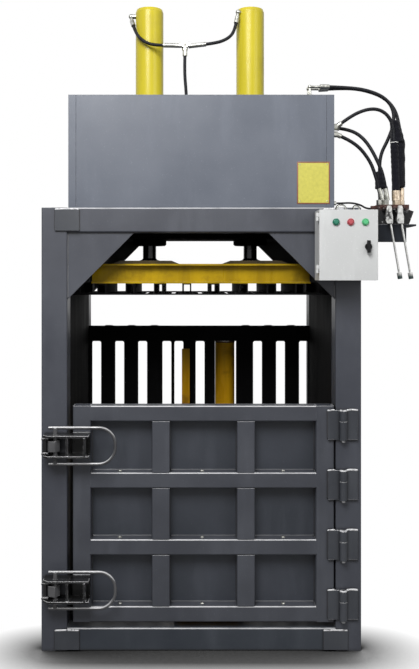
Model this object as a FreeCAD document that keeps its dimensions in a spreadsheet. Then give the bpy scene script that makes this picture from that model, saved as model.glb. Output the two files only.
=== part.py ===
"""Vertical recycling baler with two hydraulic press cylinders.

A welded frame of box-section posts and beams holds a bale chamber.  A platen hangs on two
piston rods and is pushed down through the chamber.  The lower front is a ribbed door on four
weld-on hinges, held by two cam latches with bent-rod handles.  A tipping frame lies in the
floor and against the rear wall.  The power unit stands in a sheet housing on top, and a push
button cabinet and a two-lever valve hang on the right-hand post.

Millimetres.  X is to the right, Y to the rear, Z up.  The origin is on the ground, at the
centre of the frame's footprint.
"""
import FreeCAD, Part
import math
import os
import Sketcher

Vector = FreeCAD.Vector
doc = FreeCAD.newDocument("recycling_baler")

# ---------------------------------------------------------------------------
# driving sizes: alias, value, what it is
# ---------------------------------------------------------------------------
SIZE_TABLE = [
    ("frame_width", 1360, "outside width over the posts"),
    ("frame_depth", 850, "outside depth over the posts"),
    ("frame_height", 1883, "ground to the top of the frame"),
    ("post_width", 110, "post section, across"),
    ("post_depth", 100, "post section, front to back"),
    ("tube_wall", 6, "wall of the posts and beams"),
    ("tube_round", 7, "outer corner of the box sections"),
    ("top_beam_height", 106, "section height of the top ring"),
    ("top_beam_depth", 80, "section depth of the top ring"),
    ("base_beam_height", 96, "section height of the base ring"),
    ("bearer_width", 60, "bearer under the middle of the floor"),
    ("gusset_leg", 284, "leg of the triangular corner gussets"),
    ("gusset_thickness", 12, "plate of the corner gussets"),
    ("gusset_setback", 12, "gusset face behind the frame's face"),
    ("pad_width", 102, "joint plates over the frame's corners"),
    ("pad_thickness", 8, "joint plates"),
    ("pad_margin", 7, "beam left bare above and below a joint plate"),
    ("side_wall_thickness", 8, "chamber side plates"),
    ("side_rib_height", 60, "outside ribs of the side plates"),
    ("side_rib_depth", 45, "outside ribs of the side plates"),
    ("rear_wall_height", 1334, "ground to the top of the slotted rear wall"),
    ("rear_wall_thickness", 8, "slotted rear wall"),
    ("slot_width", 46, "strap slots of the rear wall"),
    ("slot_pitch", 119, "outer strap slots, centre to centre"),
    ("slot_shift", 6, "strap slots to the right of the frame's middle"),
    ("slot_margin", 80, "rear wall above the slots"),
    ("slot_foot", 150, "ground to the foot of the slots"),
    ("pair_slot_far", 172, "outer slot of the inner left pair, from the middle slot"),
    ("pair_slot_near", 110, "inner slot of the inner left pair, from the middle slot"),
    ("rear_rib_width", 40, "channels behind the rear wall"),
    ("rear_rib_depth", 50, "channels behind the rear wall"),
    ("rear_rib_wall", 5, "channels behind the rear wall"),
    ("floor_thickness", 16, "chamber floor plate"),
    ("strap_groove", 22, "strap grooves of the floor and the platen face"),
    ("groove_end", 40, "plate left whole at the ends of a strap groove"),
    ("crown_height", 100, "channels that carry the cylinders"),
    ("crown_width", 60, "channels that carry the cylinders"),
    ("crown_wall", 9, "channels that carry the cylinders"),
    ("crown_offset", 78, "cylinder line to the near side of a crown channel"),
    ("crown_plate_thickness", 20, "plate under the crown channels, between the side plates"),
    ("cylinder_spacing", 480, "between the two cylinder axes"),
    ("barrel_radius", 66, "outside of the cylinder barrels"),
    ("barrel_bore", 55, "bore radius of the barrels"),
    ("barrel_spare", 115, "piston above the foot of its barrel, platen down"),
    ("cap_thickness", 26, "cylinder end caps"),
    ("cap_shoulder", 18, "rounded shoulder of the end caps"),
    ("gland_radius", 80, "gland collar under the crown"),
    ("gland_height", 28, "gland collar under the crown"),
    ("flange_side", 150, "square mounting flange on the crown plate"),
    ("flange_thickness", 28, "square mounting flange"),
    ("rod_radius", 31.5, "piston rods"),
    ("piston_height", 60, "pistons"),
    ("piston_rest", 18, "piston below the end cap, platen raised"),
    ("rod_flare", 16, "height of the rods' flared feet"),
    ("rod_running_gap", 0.05, "running clearance of rods, pins and shafts"),
    ("piston_gap", 0.35, "piston to bore"),
    ("stroke", 880, "travel of the pistons and the platen"),
    ("platen_bottom", 1509, "ground to the platen's face, raised"),
    ("platen_width", 1060, "platen, across"),
    ("platen_front", -322, "front edge of the platen"),
    ("platen_depth", 560, "platen, front to back"),
    ("platen_face_thickness", 6, "face plate of the platen"),
    ("cross_channel_height", 44, "strap channels of the platen"),
    ("cross_channel_width", 40, "strap channels of the platen"),
    ("cross_channel_wall", 5, "strap channels of the platen"),
    ("cross_pitch", 124, "strap channels, centre to centre"),
    ("platen_beam_height", 86, "yellow beams of the platen"),
    ("platen_beam_width", 70, "yellow beams of the platen"),
    ("platen_beam_web", 8, "yellow beams of the platen"),
    ("platen_beam_span", 960, "length of the yellow beams"),
    ("rod_plate_thickness", 14, "plates under the rod feet"),
    ("rod_plate_width", 290, "plates under the rod feet, across"),
    ("rod_plate_slope", 34, "sloped ends of the plates under the rod feet"),
    ("rod_foot_radius", 68, "flared feet of the piston rods"),
    ("shoe_length", 90, "guide shoes of the platen"),
    ("shoe_gap", 4, "guide shoe to side wall"),
    ("door_left_gap", 24, "left edge of the door from the left post"),
    ("door_right_gap", 6, "right edge of the door from the right post"),
    ("door_bottom", 122, "ground to the foot of the door"),
    ("door_height", 918, "door"),
    ("door_rail", 66, "height of the door's rails"),
    ("door_stile", 76, "width of the door's stiles and ribs"),
    ("door_grid_depth", 55, "depth of the rails, stiles and ribs"),
    ("door_skin", 6, "door skin"),
    ("door_section_wall", 5, "wall of the door's channels"),
    ("door_round", 6, "front edges of the door's channels"),
    ("middle_pocket", 286, "width of the middle pockets of the door"),
    ("hinge_inset", 80, "hinge line inside the frame's right side"),
    ("hinge_radius", 16.5, "hinge knuckles"),
    ("hinge_pin_radius", 9, "hinge pins"),
    ("hinge_leaf", 10, "hinge leaves"),
    ("hinge_height", 125, "hinges"),
    ("hinge_pitch", 254, "hinges, centre to centre"),
    ("hinge_first", 136, "ground to the foot of the lowest hinge"),
    ("hinge_upper_knuckle", 44, "height of the door's knuckle"),
    ("hinge_gap", 1, "between the two knuckles"),
    ("hinge_leaf_width", 46, "hinge leaves beside the knuckles"),
]

SIZE_TABLE += [
    ("latch_end_inset", 18, "left end of the latch arms inside the frame's left side"),
    ("latch_upper", 880, "ground to the middle of the upper latch"),
    ("latch_lower", 276, "ground to the middle of the lower latch"),
    ("latch_plate", 9, "plates of the latch bodies"),
    ("latch_half", 47, "half height of the latch bodies"),
    ("latch_stand", 78, "latch arms out from the frame's face"),
    ("latch_shaft_inset", 68, "handle shaft inside the frame's left side"),
    ("latch_shaft_stand", 50, "handle shaft out from the frame's face"),
    ("latch_shaft_radius", 9, "handle shafts"),
    ("latch_web_left", 120, "left web of a latch body inside the frame's left side"),
    ("latch_web_right", 192, "right web of a latch body inside the frame's left side"),
    ("handle_rod", 6.5, "radius of the bent handle rods"),
    ("handle_half", 76, "half height of the bent handles"),
    ("handle_right", 319, "right end of the bent handles inside the frame's left side"),
    ("handle_left", 40, "left end of the bent handles inside the frame's left side"),
    ("handle_bend", 70, "corner radius of the bent handles"),
    ("claw_radius", 33, "reach of the claw from its shaft"),
    ("keeper_bar_inset", 25, "keeper bar inside the frame's left side"),
    ("keeper_bar_radius", 8, "keeper bars"),
    ("keeper_half", 34, "half height of the keepers"),
    ("keeper_plate", 7, "plates of the keepers"),
    ("keeper_foot", 66, "foot plate of the keepers, across"),
    ("claw_half", 22, "half height of the claws"),
    ("claw_hub", 19, "hub of the claws"),
    ("ejector_axis_y", -346, "hinge line of the tipping frame"),
    ("ejector_axis_z", 113, "ground to the hinge line"),
    ("ejector_tube_radius", 14, "hinge tube of the tipping frame"),
    ("ejector_pin_radius", 9, "hinge rod of the tipping frame"),
    ("ejector_bar", 40, "square bar of the tipping frame"),
    ("ejector_tine", 14, "thickness of the floor tines"),
    ("ejector_bar_x", -68, "slim upright of the tipping frame"),
    ("ejector_bar_top", 1216, "ground to the top of the slim upright"),
    ("ejector_post_x", 134, "round upright of the tipping frame"),
    ("ejector_post_radius", 50, "round upright of the tipping frame"),
    ("ejector_post_drop", 2, "top of the round upright below the head of its notch"),
    ("post_notch_near", 1, "round upright to its notch, at the left"),
    ("post_notch_far", 8, "round upright to its notch, at the right"),
    ("ejector_post_wall", 6, "round upright of the tipping frame"),
    ("ejector_foot_block", 60, "block that joins a tine and the round upright, height"),
    ("ejector_back", 321, "rear side of the slim upright"),
    ("ejector_low_tie", 300, "ground to the lower tie between the uprights"),
    ("ejector_high_tie", 800, "ground to the upper tie between the uprights"),
    ("ejector_lug", 12, "lugs of the tipping frame's hinge"),
    ("housing_width", 1134, "power unit housing, across"),
    ("housing_depth", 700, "power unit housing, front to back"),
    ("housing_height", 482, "power unit housing"),
    ("housing_front", -413, "front face of the housing"),
    ("housing_sheet", 3, "sheet of the housing"),
    ("housing_return", 32, "folded front edges of the side panels"),
    ("barrel_hole_gap", 4, "housing top and crown plate round a barrel"),
    ("tank_width", 420, "oil tank, across"),
    ("tank_depth", 200, "oil tank, front to back"),
    ("tank_height", 330, "oil tank"),
    ("motor_radius", 88, "electric motor"),
    ("motor_length", 250, "electric motor"),
    ("motor_axis_y", 188, "electric motor behind the cylinder line"),
    ("motor_left", 70, "left end of the motor, from the centre"),
    ("motor_foot", 34, "motor above the frame"),
    ("pump_side", 96, "gear pump"),
    ("tank_left", 480, "left side of the tank, from the centre"),
    ("tank_front", 84, "oil tank behind the cylinder line"),
    ("cabinet_inset", 199, "left side of the control cabinet inside the frame's right side"),
    ("cabinet_width", 240, "control cabinet, across"),
    ("cabinet_height", 290, "control cabinet"),
    ("cabinet_depth", 118, "control cabinet, front to back, with its door"),
    ("cabinet_drop", 309, "foot of the cabinet below the top of the frame"),
    ("cabinet_sheet", 2, "sheet of the cabinet"),
    ("cabinet_door_depth", 14, "folded edge of the cabinet's door"),
    ("cabinet_stand_off", 8, "straps between the cabinet and the post"),
    ("cabinet_pin", 3, "hinge pin radius of the cabinet's door"),
    ("cabinet_pin_gap", 0.25, "hinge pin of the cabinet's door to its bore"),
    ("cabinet_knuckle", 6, "hinge knuckles of the cabinet's door"),
    ("button_row", 239, "buttons above the cabinet's foot"),
    ("button_first", 68, "first button from the cabinet's left side"),
    ("button_pitch", 60, "buttons, centre to centre"),
    ("button_radius", 11, "button caps"),
    ("button_stand", 9, "button caps out from the cabinet's door"),
    ("button_travel", 4, "travel of the buttons"),
    ("knob_x", 200, "door lock knob from the cabinet's left side"),
    ("knob_z", 138, "door lock knob above the cabinet's foot"),
    ("knob_radius", 14, "door lock knob"),
    ("knob_wing", 25, "wings of the knob, from its centre"),
    ("knob_stand", 20, "knob out from the cabinet's door"),
    ("knob_shaft", 5, "shaft of the door lock knob"),
    ("shelf_reach", 232, "right end of the valve shelf outside the frame"),
    ("shelf_depth", 130, "valve shelf, front to back"),
    ("shelf_below", 71, "top of the valve shelf below the top of the frame"),
    ("shelf_plate", 8, "plates of the valve shelf"),
    ("shelf_drop", 76, "front apron of the valve shelf"),
    ("shelf_front", -428, "front edge of the valve shelf"),
    ("apron_left", 71, "left end of the apron outside the frame"),
    ("apron_right", 190, "right end of the apron outside the frame"),
    ("valve_left", 68, "left side of the valve block outside the frame"),
    ("valve_width", 134, "valve block, across"),
    ("valve_depth", 98, "valve block, front to back"),
    ("valve_height", 83, "valve block"),
    ("lever_first", 106, "left lever outside the frame"),
    ("lever_pitch", 46, "between the two levers"),
    ("lever_axis_y", -466, "lever pivots"),
    ("lever_axis_rise", 64, "lever pivots above the valve shelf"),
    ("lever_block", 30, "lever hubs, across"),
    ("lever_block_depth", 22, "lever hubs, front to back"),
    ("lever_block_drop", 64, "lever hubs below their pivots"),
    ("lever_ear", 5, "ears beside the lever hubs"),
    ("lever_radius", 4.5, "lever rods"),
    ("lever_length", 232, "height that a lever rod spans"),
    ("lever_lean", 42, "lever ends to the right of their hubs"),
    ("lever_pin_radius", 4, "lever pivot pins"),
    ("spool_radius", 13, "spool caps on the valve's front"),
    ("lever_waist", 11, "lever hubs above their feet, half width"),
    ("grip_radius", 10, "lever grips"),
    ("grip_length", 26, "lever grips"),
    ("hose_radius", 7.5, "hydraulic hoses"),
    ("cable_radius", 4, "control cable"),
    ("cable_plug", 22, "plug of the control cable on the valve block"),
    ("ferrule_radius", 10.5, "crimped hose ends"),
    ("sleeve_radius", 18.5, "protective sleeve of the pressure hose"),
    ("sleeve_bore", 8.2, "protective sleeve of the pressure hose"),
    ("tube_radius", 6, "short steel tubes on the housing"),
]


# ---------------------------------------------------------------------------
# a size carries its number and the sheet formula that it comes from
# ---------------------------------------------------------------------------
class Size:
    def __init__(self, text, value):
        self.text = text
        self.value = value

    def __add__(self, other):
        return combine(self, "+", other, lambda a, b: a + b)

    def __radd__(self, other):
        return combine(other, "+", self, lambda a, b: a + b)

    def __sub__(self, other):
        return combine(self, "-", other, lambda a, b: a - b)

    def __rsub__(self, other):
        return combine(other, "-", self, lambda a, b: a - b)

    def __mul__(self, other):
        return combine(self, "*", other, lambda a, b: a * b)

    def __rmul__(self, other):
        return combine(other, "*", self, lambda a, b: a * b)

    def __truediv__(self, other):
        return combine(self, "/", other, lambda a, b: a / b)

    def __neg__(self):
        return combine(0, "-", self, lambda a, b: a - b)


def combine(left, sign, right, rule):
    one = left if isinstance(left, Size) else Size(repr(float(left)), left)
    two = right if isinstance(right, Size) else Size(repr(float(right)), right)
    return Size("(%s %s %s)" % (one.text, sign, two.text), rule(one.value, two.value))


def number(size):
    return float(size.value if isinstance(size, Size) else size)


def make_sheet():
    sheet = doc.addObject("Spreadsheet::Sheet", "sizes")
    sizes = {}
    for row, (alias, value, note) in enumerate(SIZE_TABLE, start=1):
        sheet.set("A%d" % row, alias)
        sheet.set("B%d" % row, str(value))
        sheet.set("C%d" % row, note)
        sheet.setAlias("B%d" % row, alias)
        sizes[alias] = Size("sizes." + alias, float(value))
    doc.recompute()
    return sizes


S = make_sheet()


def bind(thing, prop, size):
    """Set a property, and tie it to the sheet where it comes from there."""
    if isinstance(size, Size):
        thing.setExpression(prop, size.text)
    else:
        target = thing
        names = prop.split(".")
        if len(names) == 1:
            setattr(target, prop, size)
        else:
            thing.setExpression(prop, repr(float(size)))


def place(thing, at):
    for letter, size in zip("xyz", at):
        if isinstance(size, Size) or size != 0:
            bind(thing, "Placement.Base." + letter, size)


# ---------------------------------------------------------------------------
# shapes
# ---------------------------------------------------------------------------
TURNS = {
    "+X": FreeCAD.Rotation(Vector(0, 1, 0), 90),
    "-X": FreeCAD.Rotation(Vector(0, 1, 0), -90),
    "+Y": FreeCAD.Rotation(Vector(1, 0, 0), -90),
    "-Y": FreeCAD.Rotation(Vector(1, 0, 0), 90),
    "+Z": FreeCAD.Rotation(),
    "-Z": FreeCAD.Rotation(Vector(1, 0, 0), 180),
}


def box(name, low, size):
    thing = doc.addObject("Part::Box", name)
    for prop, value in zip(("Length", "Width", "Height"), size):
        bind(thing, prop, value)
    place(thing, low)
    return thing


def rod(name, start, way, radius, length):
    """A round bar from its start, along +X, -Y and so on."""
    thing = doc.addObject("Part::Cylinder", name)
    bind(thing, "Radius", radius)
    bind(thing, "Height", length)
    thing.Placement.Rotation = TURNS[way]
    place(thing, start)
    return thing


def cone(name, start, way, radius_a, radius_b, length):
    thing = doc.addObject("Part::Cone", name)
    bind(thing, "Radius1", radius_a)
    bind(thing, "Radius2", radius_b)
    bind(thing, "Height", length)
    thing.Placement.Rotation = TURNS[way]
    place(thing, start)
    return thing


def fuse(name, pieces):
    thing = doc.addObject("Part::MultiFuse", name)
    thing.Shapes = pieces
    thing.Refine = True
    return thing


def cut(name, base, tools):
    tool = tools[0] if len(tools) == 1 else fuse(name + "_cuts", tools)
    thing = doc.addObject("Part::Cut", name)
    thing.Base = base
    thing.Tool = tool
    return thing


def group(name, pieces):
    thing = doc.addObject("Part::Compound", name)
    thing.Links = pieces
    return thing


def mirrored(name, source, normal):
    thing = doc.addObject("Part::Mirroring", name)
    thing.Source = source
    thing.Base = (0, 0, 0)
    thing.Normal = normal
    return thing


def origin_plane(body, letters):
    for feature in body.Origin.OriginFeatures:
        if feature.Role == letters + "_Plane":
            return feature


def new_sketch(body, letters, name):
    sketch = body.newObject("Sketcher::SketchObject", name)
    sketch.AttachmentSupport = [(origin_plane(body, letters), "")]
    sketch.MapMode = "FlatFace"
    return sketch


def pin_point(sketch, curve, end, point):
    for kind, size in zip(("DistanceX", "DistanceY"), point):
        index = sketch.addConstraint(Sketcher.Constraint(kind, -1, 1, curve, end, number(size)))
        if isinstance(size, Size):
            sketch.setExpression("Constraints[%d]" % index, size.text)


def draw_outline(sketch, points):
    """A closed outline of straight edges through the points, each tied to its sizes."""
    first = sketch.GeometryCount
    count = len(points)
    flat = [Vector(number(x), number(y), 0) for x, y in points]
    for i in range(count):
        sketch.addGeometry(Part.LineSegment(flat[i], flat[(i + 1) % count]))
    for i in range(count):
        after = first + (i + 1) % count
        sketch.addConstraint(Sketcher.Constraint("Coincident", first + i, 2, after, 1))
        pin_point(sketch, first + i, 1, points[i])


def draw_circle(sketch, centre, radius):
    middle = Vector(number(centre[0]), number(centre[1]), 0)
    curve = sketch.addGeometry(Part.Circle(middle, Vector(0, 0, 1), number(radius)))
    pin_point(sketch, curve, 3, centre)
    index = sketch.addConstraint(Sketcher.Constraint("Radius", curve, number(radius)))
    if isinstance(radius, Size):
        sketch.setExpression("Constraints[%d]" % index, radius.text)


def rectangle(x0, y0, x1, y1):
    return [(x0, y0), (x1, y0), (x1, y1), (x0, y1)]


def pad_body(name, letters, outlines, length, at, circles=()):
    """A body padded from a sketch on an origin plane, towards +X, +Y or +Z."""
    body = doc.addObject("PartDesign::Body", name)
    sketch = new_sketch(body, letters, name + "_sketch")
    for outline in outlines:
        draw_outline(sketch, outline)
    for centre, radius in circles:
        draw_circle(sketch, centre, radius)
    pad = body.newObject("PartDesign::Pad", name + "_pad")
    pad.Profile = sketch
    pad.Reversed = letters == "XZ"
    bind(pad, "Length", length)
    sketch.Visibility = False
    place(body, at)
    return body


def revolved_body(name, outline, at, turn="+Z"):
    """A turned piece: the outline holds (radius, height) points about the Z axis."""
    body = doc.addObject("PartDesign::Body", name)
    sketch = new_sketch(body, "XZ", name + "_sketch")
    draw_outline(sketch, outline)
    turned = body.newObject("PartDesign::Revolution", name + "_turned")
    turned.Profile = sketch
    turned.ReferenceAxis = (sketch, ["V_Axis"])
    turned.Angle = 360
    body.Placement.Rotation = TURNS[turn]
    place(body, at)
    return body


def round_long_edges(body, letters, radius, wanted):
    """Fillet the edges that run along the pad and whose place in the section is wanted."""
    doc.recompute()
    base = body.Tip
    along = {"XY": 2, "XZ": 1, "YZ": 0}[letters]
    names = []
    for index, edge in enumerate(base.Shape.Edges, start=1):
        ends = [vertex.Point for vertex in edge.Vertexes]
        if len(ends) != 2:
            continue
        step = ends[1] - ends[0]
        if abs(abs(step[along]) - step.Length) < 1e-6 and wanted(ends[0]):
            names.append("Edge%d" % index)
    fillet = body.newObject("PartDesign::Fillet", body.Name + "_fillet")
    fillet.Base = (base, names)
    bind(fillet, "Radius", radius)
    return fillet


NODES = []


def node(thing, name):
    """Name a finished sub-part; each is written to a file of its own."""
    thing.Label = name
    NODES.append(thing)
    return thing


# ---------------------------------------------------------------------------
# lines and levels that several sub-parts share
# ---------------------------------------------------------------------------
HALF_WIDTH = S["frame_width"] / 2
HALF_DEPTH = S["frame_depth"] / 2
INNER_X = HALF_WIDTH - S["post_width"]
INNER_Y = HALF_DEPTH - S["post_depth"]
DOOR_LEFT = S["door_left_gap"] - INNER_X
DOOR_RIGHT = INNER_X - S["door_right_gap"]
HINGE_X = HALF_WIDTH - S["hinge_inset"]
FRONT = -HALF_DEPTH
TOP_BEAM_FOOT = S["frame_height"] - S["top_beam_height"]
CROWN_FOOT = S["frame_height"] - S["crown_height"]
PLATE_FOOT = CROWN_FOOT - S["crown_plate_thickness"]
BARREL_TOP = (PLATE_FOOT + S["barrel_spare"] + S["stroke"] + S["piston_height"]
              + S["piston_rest"] + S["cap_thickness"])
CYLINDER_X = S["cylinder_spacing"] / 2
SIDES = (("left", -1), ("right", 1))


def box_section(name, letters, width, height, length, at):
    """A hollow box section with rounded outer corners."""
    wall = S["tube_wall"]
    outer = rectangle(0, 0, width, height)
    inner = rectangle(wall, wall, width - wall, height - wall)
    body = pad_body(name, letters, [outer, inner], length, at)
    axes = {"XY": (0, 1), "XZ": (0, 2), "YZ": (1, 2)}[letters]
    sizes = (number(width), number(height))

    def at_corner(point):
        ends = [min(abs(point[a]), abs(point[a] - s)) < 1e-6 for a, s in zip(axes, sizes)]
        return all(ends)

    round_long_edges(body, letters, S["tube_round"], at_corner)
    return body


def channel(name, letters, width, height, wall, length, at, web="low"):
    """A U channel: its web lies on the low or the high side of the section's second axis."""
    t = wall
    if web == "low":
        outline = [(0, 0), (width, 0), (width, height), (width - t, height),
                   (width - t, t), (t, t), (t, height), (0, height)]
    else:
        outline = [(0, 0), (t, 0), (t, height - t), (width - t, height - t),
                   (width - t, 0), (width, 0), (width, height), (0, height)]
    return pad_body(name, letters, [outline], length, at)


# ---------------------------------------------------------------------------
# frame
# ---------------------------------------------------------------------------
def make_posts():
    posts = []
    for end, low_y in (("front", FRONT), ("rear", INNER_Y)):
        for side, sign in SIDES:
            low_x = -HALF_WIDTH if sign < 0 else INNER_X
            name = "%s_%s_post" % (end, side)
            posts.append(box_section(name, "XY", S["post_width"], S["post_depth"],
                                     S["frame_height"], (low_x, low_y, 0)))
            wall = S["tube_wall"]
            plug = (S["post_width"] - wall * 2, S["post_depth"] - wall * 2, wall)
            for level, foot in (("foot", 0), ("head", S["frame_height"] - wall)):
                posts.append(box("%s_%s_plate" % (name, level),
                                 (low_x + wall, low_y + wall, foot), plug))
    node(group("post_set", posts), "corner_posts")


def make_ring(name, height, depth, foot):
    """Four beams between the posts, at the head or the foot of the frame."""
    beams = []
    for end, low_y in (("front", FRONT), ("rear", HALF_DEPTH - depth)):
        beams.append(box_section("%s_%s_beam" % (name, end), "YZ", depth, height,
                                 INNER_X * 2, (-INNER_X, low_y, foot)))
    for side, low_x in (("left", -HALF_WIDTH), ("right", HALF_WIDTH - depth)):
        beams.append(box_section("%s_%s_beam" % (name, side), "XZ", depth, height,
                                 INNER_Y * 2, (low_x, -INNER_Y, foot)))
    if name == "base_ring":
        wide = S["bearer_width"]
        beams.append(box_section("floor_bearer", "XZ", wide, height, HALF_DEPTH * 2 - depth * 2,
                                 (0 - wide / 2, depth - HALF_DEPTH, foot)))
    node(group(name + "_beams", beams), name)


def make_gussets():
    leg = S["gusset_leg"]
    plates = []
    setback = S["gusset_setback"]
    thick = S["gusset_thickness"]
    for end, low_y in (("front", FRONT + setback), ("rear", HALF_DEPTH - setback - thick)):
        left = pad_body(end + "_left_gusset", "XZ",
                        [[(0, 0), (0, -leg), (leg, 0)]], thick,
                        (-INNER_X, low_y, TOP_BEAM_FOOT))
        plates += [left, mirrored(end + "_right_gusset", left, (1, 0, 0))]
    node(group("gusset_plates", plates), "corner_gussets")


def make_joint_plates():
    """Flat plates welded over the seams between the posts and the front beams."""
    plates = []
    margin = S["pad_margin"]
    for level, foot, height in (("head", TOP_BEAM_FOOT, S["top_beam_height"]),
                                ("foot", 0, S["base_beam_height"])):
        for side, sign in SIDES:
            low_x = INNER_X * sign - S["pad_width"] / 2
            plates.append(box("%s_%s_joint_plate" % (level, side),
                              (low_x, FRONT - S["pad_thickness"], foot + margin),
                              (S["pad_width"], S["pad_thickness"], height - margin * 2)))
    node(group("joint_plate_set", plates), "joint_plates")


def make_crown():
    """Channels between the side beams, and the plate under them that takes the cylinders."""
    span = (HALF_WIDTH - S["top_beam_depth"]) * 2
    left_x = -span / 2
    channels = []
    for end, low_y in (("front", -S["crown_offset"] - S["crown_width"]),
                       ("rear", S["crown_offset"])):
        channels.append(channel(end + "_crown_channel", "YZ", S["crown_width"],
                                S["crown_height"], S["crown_wall"], span,
                                (left_x, low_y, CROWN_FOOT)))
    node(group("crown_channel_pair", channels), "crown_channels")

    depth = (S["crown_offset"] + S["crown_width"]) * 2
    hole = S["barrel_radius"] + S["barrel_hole_gap"] / 2
    holes = [((INNER_X + CYLINDER_X * sign, depth / 2), hole) for _, sign in SIDES]
    plate = pad_body("crown_plate_body", "XY", [rectangle(0, 0, INNER_X * 2, depth)],
                     S["crown_plate_thickness"], (-INNER_X, 0 - depth / 2, PLATE_FOOT),
                     circles=holes)
    node(plate, "crown_plate")


def make_side_walls():
    thick = S["side_wall_thickness"]
    foot = S["base_beam_height"]
    height = TOP_BEAM_FOOT - foot
    walls = []
    ribs = []
    for side, sign in SIDES:
        low_x = INNER_X if sign > 0 else -INNER_X - thick
        walls.append(box(side + "_side_wall", (low_x, -INNER_Y, foot),
                         (thick, INNER_Y * 2, height)))
        rib_x = INNER_X + thick if sign > 0 else -INNER_X - thick - S["side_rib_depth"]
        for level in (1, 2, 3, 4):
            rib_foot = foot + height * level / 5 - S["side_rib_height"] / 2
            ribs.append(channel("%s_side_rib_%d" % (side, level), "XZ", S["side_rib_depth"],
                                S["side_rib_height"], S["door_section_wall"], INNER_Y * 2,
                                (rib_x, -INNER_Y, rib_foot)))
    node(group("side_wall_pair", walls), "side_walls")
    node(group("side_rib_set", ribs), "side_wall_ribs")


def rear_slots():
    """Left and right side of every strap slot of the rear wall."""
    half = S["slot_width"] / 2
    middle = S["slot_shift"]
    centres = [middle - S["pair_slot_far"], middle - S["pair_slot_near"], middle]
    centres += [middle + S["slot_pitch"] * count * sign
                for count in (2.5, 3.5, 4.5) for _, sign in SIDES]
    return [(centre - half, centre + half) for centre in centres]


def post_notch():
    """Left and right side of the rear wall's notch round the round upright."""
    radius = number(S["ejector_post_radius"])
    buried = number(INNER_Y) - (number(S["ejector_back"]) - number(S["ejector_bar"]) + radius)
    half = math.sqrt(radius ** 2 - max(0, buried) ** 2)
    centre = S["ejector_post_x"]
    return centre - half - S["post_notch_near"], centre + half + S["post_notch_far"]


def notched(low_x, high_x, low, high, notches):
    """A plate's outline, with notches (left, right, depth level) in its low side."""
    outline = [(low_x, low)]
    for left, right, level in notches:
        outline += [(left, low), (left, level), (right, level), (right, low)]
    return outline + [(high_x, low), (high_x, high), (low_x, high)]


def make_rear_wall():
    foot = S["base_beam_height"]
    wall = S["rear_wall_thickness"]
    head = S["rear_wall_height"] - S["slot_margin"]
    notch = post_notch() + (head,)
    outlines = [notched(-INNER_X, INNER_X, foot, S["rear_wall_height"], [notch])]
    for low, high in rear_slots():
        outlines.append(rectangle(low, S["slot_foot"], high, head))
    plate = pad_body("rear_wall_plate", "XZ", outlines, wall, (0, INNER_Y, 0))
    round_slot_heads(plate, number(head), [number(side) for slot in rear_slots() for side in slot])
    node(plate, "rear_wall")

    channels = []
    for count in (2, 3, 4):
        for side, sign in SIDES:
            low_x = S["slot_shift"] + S["slot_pitch"] * count * sign - S["rear_rib_width"] / 2
            channels.append(channel("%s_rear_channel_%d" % (side, count), "XY",
                                    S["rear_rib_width"], S["rear_rib_depth"],
                                    S["rear_rib_wall"], S["rear_wall_height"] - foot,
                                    (low_x, INNER_Y + wall, foot), web="high"))
    node(group("rear_channel_set", channels), "rear_wall_channels")


def round_slot_heads(body, head, sides):
    """Round the upper corners of the strap slots."""
    doc.recompute()
    plain = body.Tip
    names = []
    for index, edge in enumerate(plain.Shape.Edges, start=1):
        ends = [vertex.Point for vertex in edge.Vertexes]
        along_y = len(ends) == 2 and abs(abs(ends[1].y - ends[0].y) - edge.Length) < 1e-6
        beside_slot = along_y and min(abs(ends[0].x - side) for side in sides) < 1e-6
        if beside_slot and abs(ends[0].z - head) < 1e-6:
            names.append("Edge%d" % index)
    fillet = body.newObject("PartDesign::Fillet", "slot_head_fillet")
    fillet.Base = (plain, names)
    bind(fillet, "Radius", S["slot_width"] / 5)


def make_floor():
    """Floor plate with strap grooves and the notches that the tipping frame's tines fill."""
    front = S["ejector_axis_y"] + S["ejector_tube_radius"] + 6
    half = S["ejector_bar"] / 2 + 2
    notches = []
    for centre, back in ((S["ejector_bar_x"], INNER_Y - 1), (S["ejector_post_x"], INNER_Y - 1)):
        notches.append((centre - half, centre + half, back))
    outlines = [notched(-INNER_X, INNER_X, front, INNER_Y, notches)]
    groove = S["strap_groove"] / 2
    end = S["groove_end"]
    for count in (2.5, 3.5, 4.5):
        for _, sign in SIDES:
            centre = S["slot_shift"] + S["slot_pitch"] * count * sign
            outlines.append(rectangle(centre - groove, front + end, centre + groove, INNER_Y - end))
    node(pad_body("floor_plate_body", "XY", outlines, S["floor_thickness"],
                  (0, 0, S["base_beam_height"])), "floor_plate")


# ---------------------------------------------------------------------------
# hydraulic cylinders and platen
# ---------------------------------------------------------------------------
CHANNEL_FOOT = S["platen_bottom"] + S["platen_face_thickness"]
BEAM_FOOT = CHANNEL_FOOT + S["cross_channel_height"]
BEAM_HEAD = BEAM_FOOT + S["platen_beam_height"]
PLATEN_HEAD = BEAM_HEAD + S["rod_plate_thickness"]


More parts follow.
